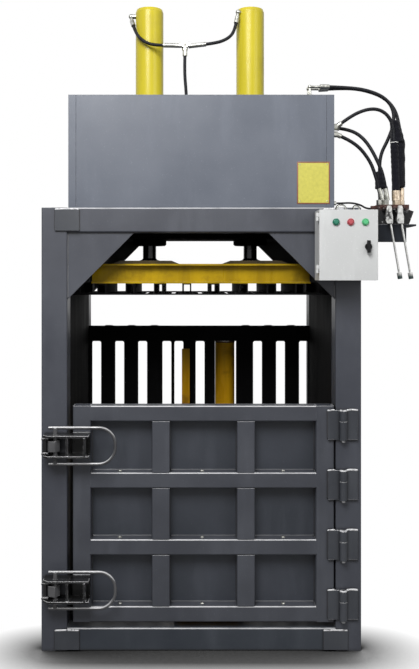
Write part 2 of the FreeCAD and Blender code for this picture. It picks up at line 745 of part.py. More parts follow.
def make_cylinders():
    """Barrels with their caps, the flanges and glands that hold them, and the piston rods."""
    barrels = []
    holders = []
    rods = []
    for side, sign in SIDES:
        axis_x = CYLINDER_X * sign
        barrels.append(revolved_body(side + "_barrel", barrel_outline(), (axis_x, 0, PLATE_FOOT)))
        square = S["flange_side"]
        plate = box(side + "_flange_plate", (axis_x - square / 2, 0 - square / 2, CROWN_FOOT),
                    (square, square, S["flange_thickness"]))
        barrel_hole = rod(side + "_flange_hole", (axis_x, 0, CROWN_FOOT), "+Z",
                          S["barrel_radius"], S["flange_thickness"])
        holders.append(cut(side + "_flange", plate, [barrel_hole]))
        holders.append(revolved_body(side + "_gland", gland_outline(), (axis_x, 0, PLATE_FOOT)))
        rods.append(revolved_body(side + "_piston_rod", rod_outline(), (axis_x, 0, PLATEN_HEAD)))
    node(group("barrel_pair", barrels), "cylinder_barrels")
    node(group("holder_set", holders), "cylinder_flanges")
    node(group("rod_pair", rods), "piston_rods")


def barrel_outline():
    outer = S["barrel_radius"]
    bore = S["barrel_bore"]
    head = BARREL_TOP - PLATE_FOOT
    inside = head - S["cap_thickness"]
    shoulder = S["cap_shoulder"]
    return [(bore, 0), (outer, 0), (outer, head - shoulder),
            (outer - shoulder / 4, head - shoulder / 4), (outer - shoulder, head),
            (0, head), (0, inside), (bore, inside)]


def gland_outline():
    hole = S["rod_radius"] + S["rod_running_gap"]
    outer = S["gland_radius"]
    foot = 0 - S["gland_height"]
    return [(hole, foot), (outer - 6, foot), (outer, foot + 6), (outer, 0), (hole, 0)]


def rod_outline():
    radius = S["rod_radius"]
    foot = S["rod_foot_radius"]
    piston = S["barrel_bore"] - S["piston_gap"]
    top = BARREL_TOP - S["cap_thickness"] - S["piston_rest"] - PLATEN_HEAD
    under = top - S["piston_height"]
    flare = S["rod_flare"]
    return [(0, 0), (foot, 0), (foot, flare / 4), (foot * 0.74, flare / 3),
            (foot * 0.55, flare * 0.6), (radius, flare), (radius, under), (piston, under),
            (piston, top), (0, top)]


def make_platen():
    half = S["platen_width"] / 2
    front = S["platen_front"]
    depth = S["platen_depth"]
    thick = S["platen_face_thickness"]
    outlines = [rectangle(-half, front, half, front + depth)]
    end = S["groove_end"]
    half_groove = S["strap_groove"] / 2
    for index in range(-4, 5):
        centre = S["cross_pitch"] * index
        outlines.append(rectangle(centre - half_groove, front + end,
                                  centre + half_groove, front + depth - end))
    node(pad_body("platen_face", "XY", outlines, thick, (0, 0, S["platen_bottom"])),
         "platen_face_plate")

    channels = []
    for index in range(-4, 4):
        centre = S["cross_pitch"] * (index + 0.5)
        channels.append(channel("strap_channel_%d" % (index + 5), "XZ",
                                S["cross_channel_width"], S["cross_channel_height"],
                                S["cross_channel_wall"], depth,
                                (centre - S["cross_channel_width"] / 2, front, CHANNEL_FOOT),
                                web="high"))
    node(group("strap_channel_set", channels), "platen_channels")

    beams = []
    width = S["platen_beam_width"]
    for end_name, low_y in (("front", front), ("rear", front + depth - width)):
        beams.append(i_beam(end_name + "_platen_beam", low_y))
    node(group("platen_beam_pair", beams), "platen_beams")

    plates = []
    for side, sign in SIDES:
        long = S["rod_plate_width"]
        slope = S["rod_plate_slope"]
        high = S["rod_plate_thickness"]
        outline = [(0, 0), (long, 0), (long - slope, high), (slope, high)]
        plates.append(pad_body(side + "_rod_plate", "XZ", [outline], depth,
                               (CYLINDER_X * sign - long / 2, front, BEAM_HEAD)))
    node(group("rod_plate_pair", plates), "platen_rod_plates")

    shoes = []
    reach = INNER_X - S["shoe_gap"] - half
    height = S["cross_channel_height"] + thick
    for side, sign in SIDES:
        low_x = half if sign > 0 else -half - reach
        for end_name, low_y in (("front", front), ("rear", front + depth - S["shoe_length"])):
            shoes.append(box("%s_%s_shoe" % (side, end_name), (low_x, low_y, S["platen_bottom"]),
                             (reach, S["shoe_length"], height)))
    node(group("shoe_set", shoes), "platen_guide_shoes")


def i_beam(name, low_y):
    """A welded beam across the platen: two flanges and a web, with end plates."""
    width = S["platen_beam_width"]
    height = S["platen_beam_height"]
    web = S["platen_beam_web"]
    low = (width - web) / 2
    high = (width + web) / 2
    outline = [(0, 0), (width, 0), (width, web), (high, web), (high, height - web),
               (width, height - web), (width, height), (0, height), (0, height - web),
               (low, height - web), (low, web), (0, web)]
    span = S["platen_beam_span"]
    return pad_body(name, "YZ", [outline], span, (-span / 2, low_y, BEAM_FOOT))


# ---------------------------------------------------------------------------
# door and its hinges
# ---------------------------------------------------------------------------
DOOR_PITCH = (S["door_height"] - S["door_rail"]) / 3
GRID_BACK = FRONT + S["door_grid_depth"]


def front_rounded(body, letters, depth_axis):
    """Round the two front edges of a door channel."""
    round_long_edges(body, letters, S["door_round"], lambda point: abs(point[depth_axis]) < 1e-6)


def make_door():
    """A grid of channels with closed fronts, welded on a skin."""
    left = DOOR_LEFT
    right = DOOR_RIGHT
    foot = S["door_bottom"]
    height = S["door_height"]
    stile = S["door_stile"]
    depth = S["door_grid_depth"]
    t = S["door_section_wall"]
    node(box("door_skin_sheet", (left, GRID_BACK, foot), (right - left, S["door_skin"], height)),
         "door_skin")

    stiles = []
    for side, low_x in (("left", left), ("right", right - stile)):
        body = channel(side + "_stile", "XY", stile, depth, t, height, (low_x, FRONT, foot))
        front_rounded(body, "XY", 1)
        stiles.append(body)
    node(group("stile_pair", stiles), "door_stiles")

    rails = []
    rail = S["door_rail"]
    section = [(0, 0), (depth, 0), (depth, t), (t, t), (t, rail - t), (depth, rail - t),
               (depth, rail), (0, rail)]
    for count in range(4):
        body = pad_body("rail_%d" % (count + 1), "YZ", [section], right - left - stile * 2,
                        (left + stile, FRONT, foot + DOOR_PITCH * count))
        front_rounded(body, "YZ", 1)
        rails.append(body)
    node(group("rail_set", rails), "door_rails")

    ribs = []
    centre = (left + right) / 2
    half = S["middle_pocket"] / 2
    for count in range(3):
        low_z = foot + DOOR_PITCH * count + rail
        for side, low_x in (("left", centre - half - stile), ("right", centre + half)):
            body = channel("%s_rib_%d" % (side, count + 1), "XY", stile, depth, t,
                           DOOR_PITCH - rail, (low_x, FRONT, low_z))
            front_rounded(body, "XY", 1)
            ribs.append(body)
    node(group("rib_set", ribs), "door_ribs")


def hinge_half(name, leaf_x, bridge_x, bridge_width, foot, knuckle_foot, knuckle_height):
    """A leaf on the frame's face and its knuckle, bored for the pin."""
    leaf_y = FRONT - S["hinge_leaf"]
    radius = S["hinge_radius"]
    axis_y = FRONT - radius - 0.5
    width = S["hinge_leaf_width"]
    leaf = box(name + "_leaf", (leaf_x, leaf_y, foot), (width, S["hinge_leaf"], S["hinge_height"]))
    bridge = box(name + "_bridge", (bridge_x, leaf_y, knuckle_foot),
                 (bridge_width, S["hinge_leaf"], knuckle_height))
    knuckle = rod(name + "_knuckle", (HINGE_X, axis_y, knuckle_foot), "+Z", radius,
                  knuckle_height)
    bore = rod(name + "_bore", (HINGE_X, axis_y, knuckle_foot - 1), "+Z",
               S["hinge_pin_radius"] + S["rod_running_gap"], knuckle_height + 2)
    return cut(name, fuse(name + "_blank", [leaf, bridge, knuckle]), [bore])


def make_hinges():
    """Four weld-on hinges: the short upper knuckle on the door, the lower one on the post."""
    on_post = []
    on_door = []
    pins = []
    radius = S["hinge_radius"]
    axis_x = HINGE_X
    upper = S["hinge_upper_knuckle"]
    lower = S["hinge_height"] - upper - S["hinge_gap"]
    width = S["hinge_leaf_width"]
    for count in range(4):
        foot = S["hinge_first"] + S["hinge_pitch"] * count
        post_x = axis_x + radius + 0.5
        door_x = axis_x - radius - 0.5 - width
        on_post.append(hinge_half("post_hinge_%d" % (count + 1), post_x, axis_x + 4,
                                  radius, foot, foot, lower))
        on_door.append(hinge_half("door_hinge_%d" % (count + 1), door_x, axis_x - radius - 4,
                                  radius, foot, foot + lower + S["hinge_gap"], upper))
        pins.append(rod("hinge_pin_%d" % (count + 1), (axis_x, FRONT - radius - 0.5, foot - 9),
                        "+Z", S["hinge_pin_radius"], S["hinge_height"] + 11))
    node(group("post_hinge_set", on_post), "hinge_post_leaves")
    node(group("door_hinge_set", on_door), "hinge_door_leaves")
    node(group("hinge_pin_set", pins), "hinge_pins")


# ---------------------------------------------------------------------------
# latches: body and handle ride on the door, the keeper stands on the post
# ---------------------------------------------------------------------------
SHAFT_X = S["latch_shaft_inset"] - HALF_WIDTH
SHAFT_Y = FRONT - S["latch_shaft_stand"]
LATCHES = (("upper", S["latch_upper"]), ("lower", S["latch_lower"]))


def latch_arm(name, foot):
    face = FRONT
    far = S["latch_end_inset"] - HALF_WIDTH
    out = face - S["latch_stand"]
    near = DOOR_LEFT + S["door_stile"]
    clear = 5
    outline = [(near, face), (near, out), (far + 22, out), (far, out + 20), (far, face - clear),
               (DOOR_LEFT, face - clear), (DOOR_LEFT, face)]
    shaft = S["latch_shaft_radius"] + S["rod_running_gap"]
    return pad_body(name, "XY", [outline], S["latch_plate"], (0, 0, foot),
                    circles=[((SHAFT_X, SHAFT_Y), shaft)])


def make_latches():
    bodies = []
    keepers = []
    t = S["latch_plate"]
    half = S["latch_half"]
    for level, middle in LATCHES:
        bodies.append(latch_arm(level + "_latch_high_arm", middle + half - t))
        bodies.append(latch_arm(level + "_latch_low_arm", middle - half))
        inside = (half - t) * 2
        foot = middle - half + t
        bodies.append(box(level + "_latch_back", (DOOR_LEFT, FRONT - t, foot),
                          (S["door_stile"], t, inside)))
        depth = S["latch_stand"] - t
        for side, inset in (("left", S["latch_web_left"]), ("right", S["latch_web_right"])):
            low_y = FRONT - S["latch_stand"] + (2 if side == "left" else 0)
            bodies.append(box("%s_latch_%s_web" % (level, side),
                              (inset - HALF_WIDTH - t / 2, low_y, foot),
                              (t, depth - 2, inside)))
        keepers.append(make_keeper(level, middle))
        make_handle(level, middle)
    node(group("latch_body_set", bodies), "latch_bodies")
    node(group("keeper_pair", keepers), "latch_keepers")


def make_keeper(level, middle):
    half = S["keeper_half"]
    bar_x = S["keeper_bar_inset"] - HALF_WIDTH
    t = S["keeper_plate"]
    reach = S["latch_shaft_stand"] + S["keeper_bar_radius"] + 4
    plate = box(level + "_keeper_plate", (bar_x - 17, FRONT - t, middle - half),
                (S["keeper_foot"], t, half * 2))
    lugs = []
    for side, foot in (("high", middle + half - t), ("low", middle - half)):
        lugs.append(box("%s_keeper_%s_lug" % (level, side), (bar_x - 14, FRONT - reach, foot),
                        (28, reach, t)))
    bar = rod(level + "_keeper_bar", (bar_x, SHAFT_Y, middle - half), "+Z",
              S["keeper_bar_radius"], half * 2)
    return fuse(level + "_keeper", [plate] + lugs + [bar])


def make_handle(level, middle):
    """A bent rod on a shaft, with the claw between the latch arms."""
    half = S["handle_half"]
    left = S["handle_left"] - HALF_WIDTH
    right = S["handle_right"] - HALF_WIDTH
    radius = S["handle_rod"]
    bend = S["handle_bend"]
    straight = right - bend - left
    parts = [rod(level + "_handle_shaft", (SHAFT_X, SHAFT_Y, middle - half), "+Z",
                 S["latch_shaft_radius"], half * 2)]
    for side, sign in (("high", 1), ("low", -1)):
        parts.append(rod("%s_handle_%s_leg" % (level, side),
                         (left, SHAFT_Y, middle + half * sign), "+X", radius, straight))
        elbow = doc.addObject("Part::Torus", "%s_handle_%s_bend" % (level, side))
        bind(elbow, "Radius1", bend)
        bind(elbow, "Radius2", radius)
        elbow.Angle3 = 90
        turn = FreeCAD.Rotation(Vector(1, 0, 0), 90)
        if sign < 0:
            turn = FreeCAD.Rotation(Vector(0, 1, 0), 90).multiply(turn)
        elbow.Placement.Rotation = turn
        place(elbow, (right - bend, SHAFT_Y, middle + (half - bend) * sign))
        parts.append(elbow)
    parts.append(rod(level + "_handle_grip", (right, SHAFT_Y, middle - half + bend), "+Z",
                     radius, (half - bend) * 2))
    claw = S["claw_radius"]
    high = S["claw_half"]
    outline = [(0, 0 - S["claw_hub"]), (S["claw_hub"], 0), (0, S["claw_hub"]),
               (0 - claw * 0.8, claw * 0.42), (0 - claw, 0), (0 - claw * 0.8, 0 - claw * 0.42)]
    parts.append(pad_body(level + "_claw", "XY", [outline], high * 2,
                          (SHAFT_X, SHAFT_Y, middle - high)))
    node(fuse(level + "_handle", parts), level + "_latch_handle")


# ---------------------------------------------------------------------------
# tipping frame
# ---------------------------------------------------------------------------
def make_ejector():
    axis_y = S["ejector_axis_y"]
    axis_z = S["ejector_axis_z"]
    radius = S["ejector_tube_radius"]
    pin = S["ejector_pin_radius"]
    bar = S["ejector_bar"]
    bar_x = S["ejector_bar_x"]
    post_x = S["ejector_post_x"]
    foot = S["base_beam_height"] + 1
    low_x = bar_x - bar / 2 - 12
    high_x = post_x + bar / 2 + 12
    hinge_tube = rod("ejector_hinge_tube", (low_x, axis_y, axis_z), "+X", radius, high_x - low_x)
    parts = [hinge_tube]
    back = S["ejector_back"]
    for name, centre, end in (("slim", bar_x, back), ("round", post_x, back - bar / 4)):
        parts.append(box(name + "_tine", (centre - bar / 2, axis_y, foot),
                         (bar, end - axis_y, S["ejector_tine"])))
    parts.append(box("slim_upright", (bar_x - bar / 2, back - bar, foot),
                     (bar, bar, S["ejector_bar_top"] - foot)))
    post_radius = S["ejector_post_radius"]
    post_y = back - bar + post_radius
    post_foot = S["base_beam_height"] + S["floor_thickness"] + 2
    post_top = S["rear_wall_height"] - S["slot_margin"] - S["ejector_post_drop"]
    parts.append(rod("round_upright", (post_x, post_y, post_foot), "+Z", post_radius,
                     post_top - post_foot))
    parts.append(box("round_upright_block", (post_x - bar / 2, back - bar, foot),
                     (bar, bar * 0.75, S["ejector_foot_block"])))
    for count, level in ((1, S["ejector_low_tie"]), (2, S["ejector_high_tie"])):
        parts.append(box("ejector_tie_%d" % count, (bar_x, back - bar * 0.75, level),
                         (post_x - bar_x, bar / 2, bar)))
    wall = S["ejector_post_wall"]
    # the head is cut aslant behind the rear wall's face, so that it tips out under the notch
    rear = post_y + post_radius
    fall = (rear - axis_y) / (post_top - axis_z) * 1.08
    start = INNER_Y - 2
    low = post_top - (rear + 5 - start) * fall
    slant = pad_body("round_upright_slant", "YZ",
                     [[(start, post_top), (rear + 5, low), (rear + 5, post_top + 5),
                       (start, post_top + 5)]], post_radius * 2 + 10,
                     (post_x - post_radius - 5, 0, 0))
    hollow_foot = foot + S["ejector_foot_block"]
    hollow = rod("round_upright_bore", (post_x, post_y, hollow_foot), "+Z", post_radius - wall,
                 low - hollow_foot - wall)
    bore = rod("ejector_bore", (low_x - 1, axis_y, axis_z), "+X", pin + S["rod_running_gap"],
               high_x - low_x + 2)
    node(cut("ejector_welded", fuse("ejector_blank", parts), [bore, hollow, slant]), "ejector_frame")

    lugs = []
    lug = S["ejector_lug"]
    for side, start in (("left", low_x - lug - 1), ("right", high_x + 1)):
        blank = box(side + "_ejector_lug_foot", (start, axis_y - radius, S["base_beam_height"]),
                    (lug, radius * 2, axis_z - S["base_beam_height"]))
        eye = rod(side + "_ejector_lug_eye", (start, axis_y, axis_z), "+X", radius, lug)
        lugs.append(fuse(side + "_ejector_lug", [blank, eye]))
    lugs.append(rod("ejector_pin", (low_x - lug - 5, axis_y, axis_z), "+X", pin,
                    high_x - low_x + lug * 2 + 10))
    node(fuse("ejector_hinge_set", lugs), "ejector_hinge")


# ---------------------------------------------------------------------------
# power unit and its housing
# ---------------------------------------------------------------------------
HOUSING_FRONT = S["housing_front"]
HOUSING_BACK = HOUSING_FRONT + S["housing_depth"]
HOUSING_HEAD = S["frame_height"] + S["housing_height"]
HOUSING_SIDE = S["housing_width"] / 2


def make_housing():
    foot = S["frame_height"]
    t = S["housing_sheet"]
    height = S["housing_height"] - t
    side = HOUSING_SIDE
    fold = side - S["housing_return"]
    ledge = fold - 20
    f = HOUSING_FRONT
    b = HOUSING_BACK
    outline = [(0 - side, f), (0 - fold, f), (0 - fold, f + t), (0 - ledge, f + t),
               (0 - ledge, f + t * 2), (t - side, f + t * 2), (t - side, b - t),
               (side - t, b - t), (side - t, f + t * 2), (ledge, f + t * 2), (ledge, f + t),
               (fold, f + t), (fold, f), (side, f), (side, b), (0 - side, b)]
    node(pad_body("housing_sides_and_back", "XY", [outline], height, (0, 0, foot)),
         "housing_side_panels")
    gap = 1.5
    node(box("front_sheet", (gap - fold, f, foot), ((fold - gap) * 2, t, height)),
         "housing_front_panel")
    hole = S["barrel_radius"] + S["barrel_hole_gap"] / 2
    holes = [((CYLINDER_X * sign, 0 * side), hole) for _, sign in SIDES]
    node(pad_body("top_sheet", "XY", [rectangle(0 - side, f, side, b)], t,
                  (0, 0, HOUSING_HEAD - t), circles=holes), "housing_top_panel")


def make_power_unit():
    """Oil tank, motor and pump behind the cylinders; each is a sealed unit."""
    floor = S["frame_height"]
    left = 0 - S["tank_left"]
    front = S["tank_front"]
    tank = box("tank_body", (left, front, floor), (S["tank_width"], S["tank_depth"],
                                                   S["tank_height"]))
    filler = rod("tank_filler", (left + 90, front + S["tank_depth"] / 2,
                                 floor + S["tank_height"]), "+Z", 32, 40)
    gauge = box("tank_gauge", (left + 200, front - 8, floor + 60), (24, 8, 130))
    node(fuse("tank_set", [tank, filler, gauge]), "oil_tank")

    axis_y = S["motor_axis_y"]
    radius = S["motor_radius"]
    axis_z = floor + S["motor_foot"] + radius
    start = S["motor_left"]
    length = S["motor_length"]
    pump = S["pump_side"]
    base = box("motor_base", (start - 20, S["crown_offset"], floor), (length + pump + 60, 200, 18))
    foot = box("motor_foot_block", (start + 20, axis_y - 70, floor + 18),
               (length - 40, 140, S["motor_foot"] + 10))
    motor = rod("motor_body", (start, axis_y, axis_z), "+X", radius, length)
    bell = cone("pump_bell", (start + length, axis_y, axis_z), "+X", radius * 0.8, pump * 0.6, 50)
    block = box("pump_body", (start + length + 50, axis_y - pump / 2, axis_z - pump / 2),
                (pump * 0.6, pump, pump))
    terminal = box("motor_terminal_box", (start + 70, axis_y - 45, axis_z + radius - 12),
                   (100, 90, 60))
    node(fuse("motor_pump_set", [base, foot, motor, bell, block, terminal]), "motor_and_pump")


# ---------------------------------------------------------------------------
# control cabinet
# ---------------------------------------------------------------------------
CABINET_LEFT = HALF_WIDTH - S["cabinet_inset"]
CABINET_BACK = FRONT - S["cabinet_stand_off"]
CABINET_FRONT = CABINET_BACK - S["cabinet_depth"]
CABINET_SEAM = CABINET_FRONT + S["cabinet_door_depth"]
CABINET_AXIS_X = CABINET_LEFT - S["cabinet_knuckle"] - 1
CABINET_AXIS_Y = CABINET_SEAM - 4
CABINET_FOOT = S["frame_height"] - S["cabinet_drop"]


def cabinet_knuckles(name, levels, height, low_y):
    pieces = []
    for count, level in enumerate(levels):
        pieces.append(rod("%s_knuckle_%d" % (name, count + 1),
                          (CABINET_AXIS_X, CABINET_AXIS_Y, CABINET_FOOT + level), "+Z",
                          S["cabinet_knuckle"], height))
        pieces.append(box("%s_knuckle_bridge_%d" % (name, count + 1),
                          (CABINET_AXIS_X, low_y, CABINET_FOOT + level),
                          (S["cabinet_knuckle"] + 2, 3.5, height)))
    return pieces


def make_cabinet():
    width = S["cabinet_width"]
    height = S["cabinet_height"]
    t = S["cabinet_sheet"]
    case_depth = S["cabinet_depth"] - S["cabinet_door_depth"]
    shell = box("case_shell", (CABINET_LEFT, CABINET_SEAM, CABINET_FOOT),
                (width, case_depth, height))
    hollow = box("case_hollow", (CABINET_LEFT + t, CABINET_SEAM - 1, CABINET_FOOT + t),
                 (width - t * 2, case_depth - t + 1, height - t * 2))
    straps = [box("cabinet_strap_%d" % count, (INNER_X + 6, CABINET_BACK, CABINET_FOOT + level),
                  (98, S["cabinet_stand_off"], 36)) for count, level in ((1, 26), (2, 150))]
    rail = box("cabinet_rail", (CABINET_LEFT + 30, CABINET_BACK - t - 8, CABINET_FOOT + 110),
               (width - 60, 8, 35))
    knuckle = 16
    levels = (30, height - 30 - knuckle)
    case = fuse("case_parts", [cut("case_box", shell, [hollow])] + straps + [rail]
                + cabinet_knuckles("case", levels, knuckle, CABINET_SEAM))
    pins = [rod("cabinet_pin_%d" % count, (CABINET_AXIS_X, CABINET_AXIS_Y, CABINET_FOOT + level),
                "+Z", S["cabinet_pin"], knuckle * 2 + 2) for count, level in enumerate(levels)]
    node(fuse("case_and_pins", [case] + pins), "cabinet_case")

    gap = 0.6
    depth = S["cabinet_door_depth"] - gap
    outside = box("cabinet_door_outside", (CABINET_LEFT, CABINET_FRONT, CABINET_FOOT),
                  (width, depth, height))
    inside = box("cabinet_door_inside", (CABINET_LEFT + t, CABINET_FRONT + t, CABINET_FOOT + t),
                 (width - t * 2, depth, height - t * 2))
    lift = [level + knuckle + 1 for level in (30, number(height) - 30 - knuckle)]
    door = fuse("cabinet_door_parts", [cut("cabinet_door_pan", outside, [inside])]
                + cabinet_knuckles("cabinet_door", lift, knuckle - 1, CABINET_AXIS_Y - 5.5))
    tools = [rod("cabinet_door_bore_%d" % count,
                 (CABINET_AXIS_X, CABINET_AXIS_Y, CABINET_FOOT + level - 1), "+Z",
                 S["cabinet_pin"] + S["cabinet_pin_gap"], knuckle + 3)
             for count, level in enumerate(lift)]
    row = CABINET_FOOT + S["button_row"]
    for count in range(3):
        x = CABINET_LEFT + S["button_first"] + S["button_pitch"] * count
        tools.append(rod("button_hole_%d" % (count + 1), (x, CABINET_FRONT - 1, row), "+Y",
                         S["button_radius"] + S["rod_running_gap"], 12))
    knob_x = CABINET_LEFT + S["knob_x"]
    knob_z = CABINET_FOOT + S["knob_z"]
    tools.append(rod("knob_hole", (knob_x, CABINET_FRONT - 1, knob_z), "+Y",
                     S["knob_shaft"] + S["rod_running_gap"], 12))
    node(cut("cabinet_door_bored", door, tools), "cabinet_door")
    make_buttons(row)
    make_knob(knob_x, knob_z)


def make_buttons(row):
    """Push buttons with a domed cap, and a retaining rim inside the door."""
    radius = S["button_radius"]
    stand = S["button_stand"]
    inner = S["cabinet_sheet"] + S["button_travel"]
    outline = [(0, 0 - inner - 6), (radius + 2, 0 - inner - 6), (radius + 2, 0 - inner + 3.6),
               (radius, 0 - inner + 3.6), (radius, stand - 3), (radius - 3, stand), (0, stand)]
    for count, name in enumerate(("start_button", "stop_button", "reset_button")):
        x = CABINET_LEFT + S["button_first"] + S["button_pitch"] * count
        node(revolved_body(name + "_turned", outline, (x, CABINET_FRONT, row), turn="-Y"), name)


def make_knob(x, z):
    radius = S["knob_radius"]
    stand = S["knob_stand"]
    wing = S["knob_wing"]
    skirt = rod("knob_skirt", (x, CABINET_FRONT - 0.5, z), "-Y", radius, 8)
    grip = box("knob_grip", (x - 6.5, CABINET_FRONT - stand, z - wing), (13, stand - 6, wing * 2))
    shaft = rod("knob_shaft", (x, CABINET_FRONT - 4, z), "+Y", S["knob_shaft"], 18)
    cam = box("knob_cam", (x - 7, CABINET_FRONT + 10, z - 7), (30, 3, 14))
    node(fuse("knob_parts", [skirt, grip, shaft, cam]), "cabinet_lock_knob")


# ---------------------------------------------------------------------------
# valve and levers
# ---------------------------------------------------------------------------
SHELF_TOP = S["frame_height"] - S["shelf_below"]
SHELF_END = HALF_WIDTH + S["shelf_reach"]
APRON_LEFT = HALF_WIDTH + S["apron_left"]
VALVE_LEFT = HALF_WIDTH + S["valve_left"]
LEVER_FIRST = HALF_WIDTH + S["lever_first"]
LEVER_AXIS_Z = SHELF_TOP + S["lever_axis_rise"]


def lever_places():
    return [("left", LEVER_FIRST), ("right", LEVER_FIRST + S["lever_pitch"])]


def make_valve():
    t = S["shelf_plate"]
    front = S["shelf_front"]
    top = SHELF_TOP
    side = HALF_WIDTH
    depth = S["shelf_depth"]
    plates = [
        box("shelf_top_plate", (side, front, top - t), (SHELF_END - side, depth, t)),
        box("shelf_apron", (APRON_LEFT, front, top - S["shelf_drop"]),
            (S["apron_right"] - S["apron_left"], t, S["shelf_drop"])),
        box("shelf_post_plate", (side, front + 3, top - S["shelf_drop"] * 2),
            (t, S["post_depth"], S["shelf_drop"] * 2)),
    ]
    reach = APRON_LEFT - side
    brace = pad_body("shelf_brace", "XZ", [[(0, 0), (0, 0 - S["shelf_drop"] * 2 + t), (reach, 0)]],
                     t, (side, front + depth / 2, top - t))
    node(fuse("shelf_parts", plates + [brace]), "valve_shelf")

    left = VALVE_LEFT
    width = S["valve_width"]
    height = S["valve_height"]
    block = box("valve_casting", (left, front, top), (width, S["valve_depth"], height))
    parts = [block]
    ear = S["lever_ear"]
    half = S["lever_block"] / 2 + 1
    axis_y = S["lever_axis_y"]
    axis_z = LEVER_AXIS_Z
    radius = 10
    first = LEVER_FIRST
    last = first + S["lever_pitch"]
    spans = ((first - half - ear, ear), (first + half, S["lever_pitch"] - half * 2),
             (last + half, ear))
    for count, (low_x, thick) in enumerate(spans, start=1):
        parts.append(box("lever_ear_%d" % count, (low_x, axis_y, axis_z - radius),
                         (thick, front - axis_y, radius * 2)))
        parts.append(rod("lever_eye_%d" % count, (low_x, axis_y, axis_z), "+X", radius, thick))
    parts.append(rod("lever_pin", (first - half - ear - 3, axis_y, axis_z), "+X",
                     S["lever_pin_radius"], S["lever_pitch"] + half * 2 + ear * 2 + 6))
    for name, x in lever_places():
        parts.append(rod(name + "_spool_cap", (x, front, axis_z - 36), "-Y", S["spool_radius"], 12))
    end = left + width
    outline = [(0, 3), (4, 3), (SHELF_END - end - 7, height * 0.66), (0 - 2, height * 0.77),
               (0 - 12, height * 0.7)]
    parts.append(pad_body("valve_end_casting", "XZ", [outline], S["valve_depth"] * 0.6,
                          (end, front + 12, top)))
    plug = S["cable_plug"]
    parts.append(box("cable_plug", (left - plug, front + 16, top + height - plug - 4),
                     (plug, plug, plug)))
    node(fuse("valve_parts", parts), "valve_block")


def make_levers():
    axis_y = S["lever_axis_y"]
    axis_z = LEVER_AXIS_Z
    wide = S["lever_block"]
    deep = S["lever_block_depth"]
    drop = S["lever_block_drop"]
    foot = axis_z - drop
    lean = S["lever_lean"]
    for name, x in lever_places():
        half = wide / 2
        waist = S["lever_waist"]
        outline = [(0 - waist, 0), (0 - waist * 0.6, waist), (waist * 0.6, waist), (waist, 0),
                   (waist, 0 - drop * 0.3), (half, 0 - drop * 0.55), (half, 0 - drop),
                   (0 - waist * 0.8, 0 - drop), (0 - half, 0 - drop * 0.8),
                   (0 - waist, 0 - drop * 0.35)]
        hub = pad_body(name + "_lever_hub", "XZ", [outline], deep, (x, axis_y - deep / 2, axis_z))
        start = (x + 6, axis_y, foot + 10)
        end = (x + 6 + lean, axis_y, foot - S["lever_length"])
        shank = slanted(name + "_lever_rod", start, end, S["lever_radius"])
        knee = S["grip_length"] / S["lever_length"]
        grip_start = (end[0] - lean * knee, axis_y, end[2] + S["grip_length"])
        grip = slanted(name + "_lever_grip", grip_start, end, S["grip_radius"])
        bore = rod(name + "_lever_bore", (x - wide / 2 - 1, axis_y, axis_z), "+X",
                   S["lever_pin_radius"] + S["rod_running_gap"], wide + 2)
        node(cut(name + "_lever_bored", fuse(name + "_lever_parts", [hub, shank, grip]), [bore]),
             name + "_lever")


def slanted(name, start, end, radius):
    """A round bar between two points."""
    a = Vector(*[number(value) for value in start])
    b = Vector(*[number(value) for value in end])
    thing = doc.addObject("Part::Cylinder", name)
    bind(thing, "Radius", radius)
    thing.Height = (b - a).Length
    thing.Placement = FreeCAD.Placement(a, FreeCAD.Rotation(Vector(0, 0, 1), b - a))
    return thing


# ---------------------------------------------------------------------------
# hydraulic hoses: centre lines, in millimetres
# ---------------------------------------------------------------------------
HOSE_LINES = {
    "supply_hose": [(600, -392, 2246), (639, -392, 2275), (689, -392, 2300), (736, -391, 2310),
                    (775, -390, 2302), (807, -389, 2275), (824, -388, 2234), (829, -386, 2170),
                    (832, -385, 2100), (835, -385, 2030), (837, -385, 1958)],
    "cap_line_hose": [(556, -352, 2412), (638, -352, 2409), (716, -352, 2399), (790, -352, 2371),
                      (833, -352, 2323), (838, -352, 2256), (812, -352, 2184), (779, -352, 2121),
                      (773, -352, 2052), (777, -352, 1967)],
    "rod_line_hose": [(556, -312, 2412), (641, -312, 2417), (724, -315, 2405), (802, -320, 2374),
                      (850, -330, 2317), (864, -342, 2236), (872, -352, 2152), (868, -362, 2060),
                      (867, -366, 1970)],
    "return_hose": [(600, -352, 2232), (646, -356, 2225), (696, -366, 2193), (732, -380, 2139),
                    (759, -390, 2079), (781, -392, 2026), (790, -392, 1967)],
    "drain_hose": [(600, -392, 2190), (630, -392, 2177), (677, -392, 2145), (712, -392, 2102),
                   (740, -392, 2051), (763, -392, 1967)],
    "top_left_hose": [(-315, -30, 2776), (-301, -62, 2729), (-264, -88, 2686), (-220, -95, 2667),
                      (-173, -95, 2666)],
    "top_right_hose": [(27, -95, 2671), (79, -95, 2677), (128, -88, 2698), (159, -76, 2732),
                       (169, -62, 2779)],
    "control_cable": [(577, -400, 1903), (598, -400, 1903), (642, -403, 1905), (681, -403, 1896),
                      (706, -401, 1880), (726, -401, 1880)],
    "top_down_hose": [(-71, -95, 2616), (-73, -95, 2540), (-66, -95, 2460), (-62, -95, 2392)],
}


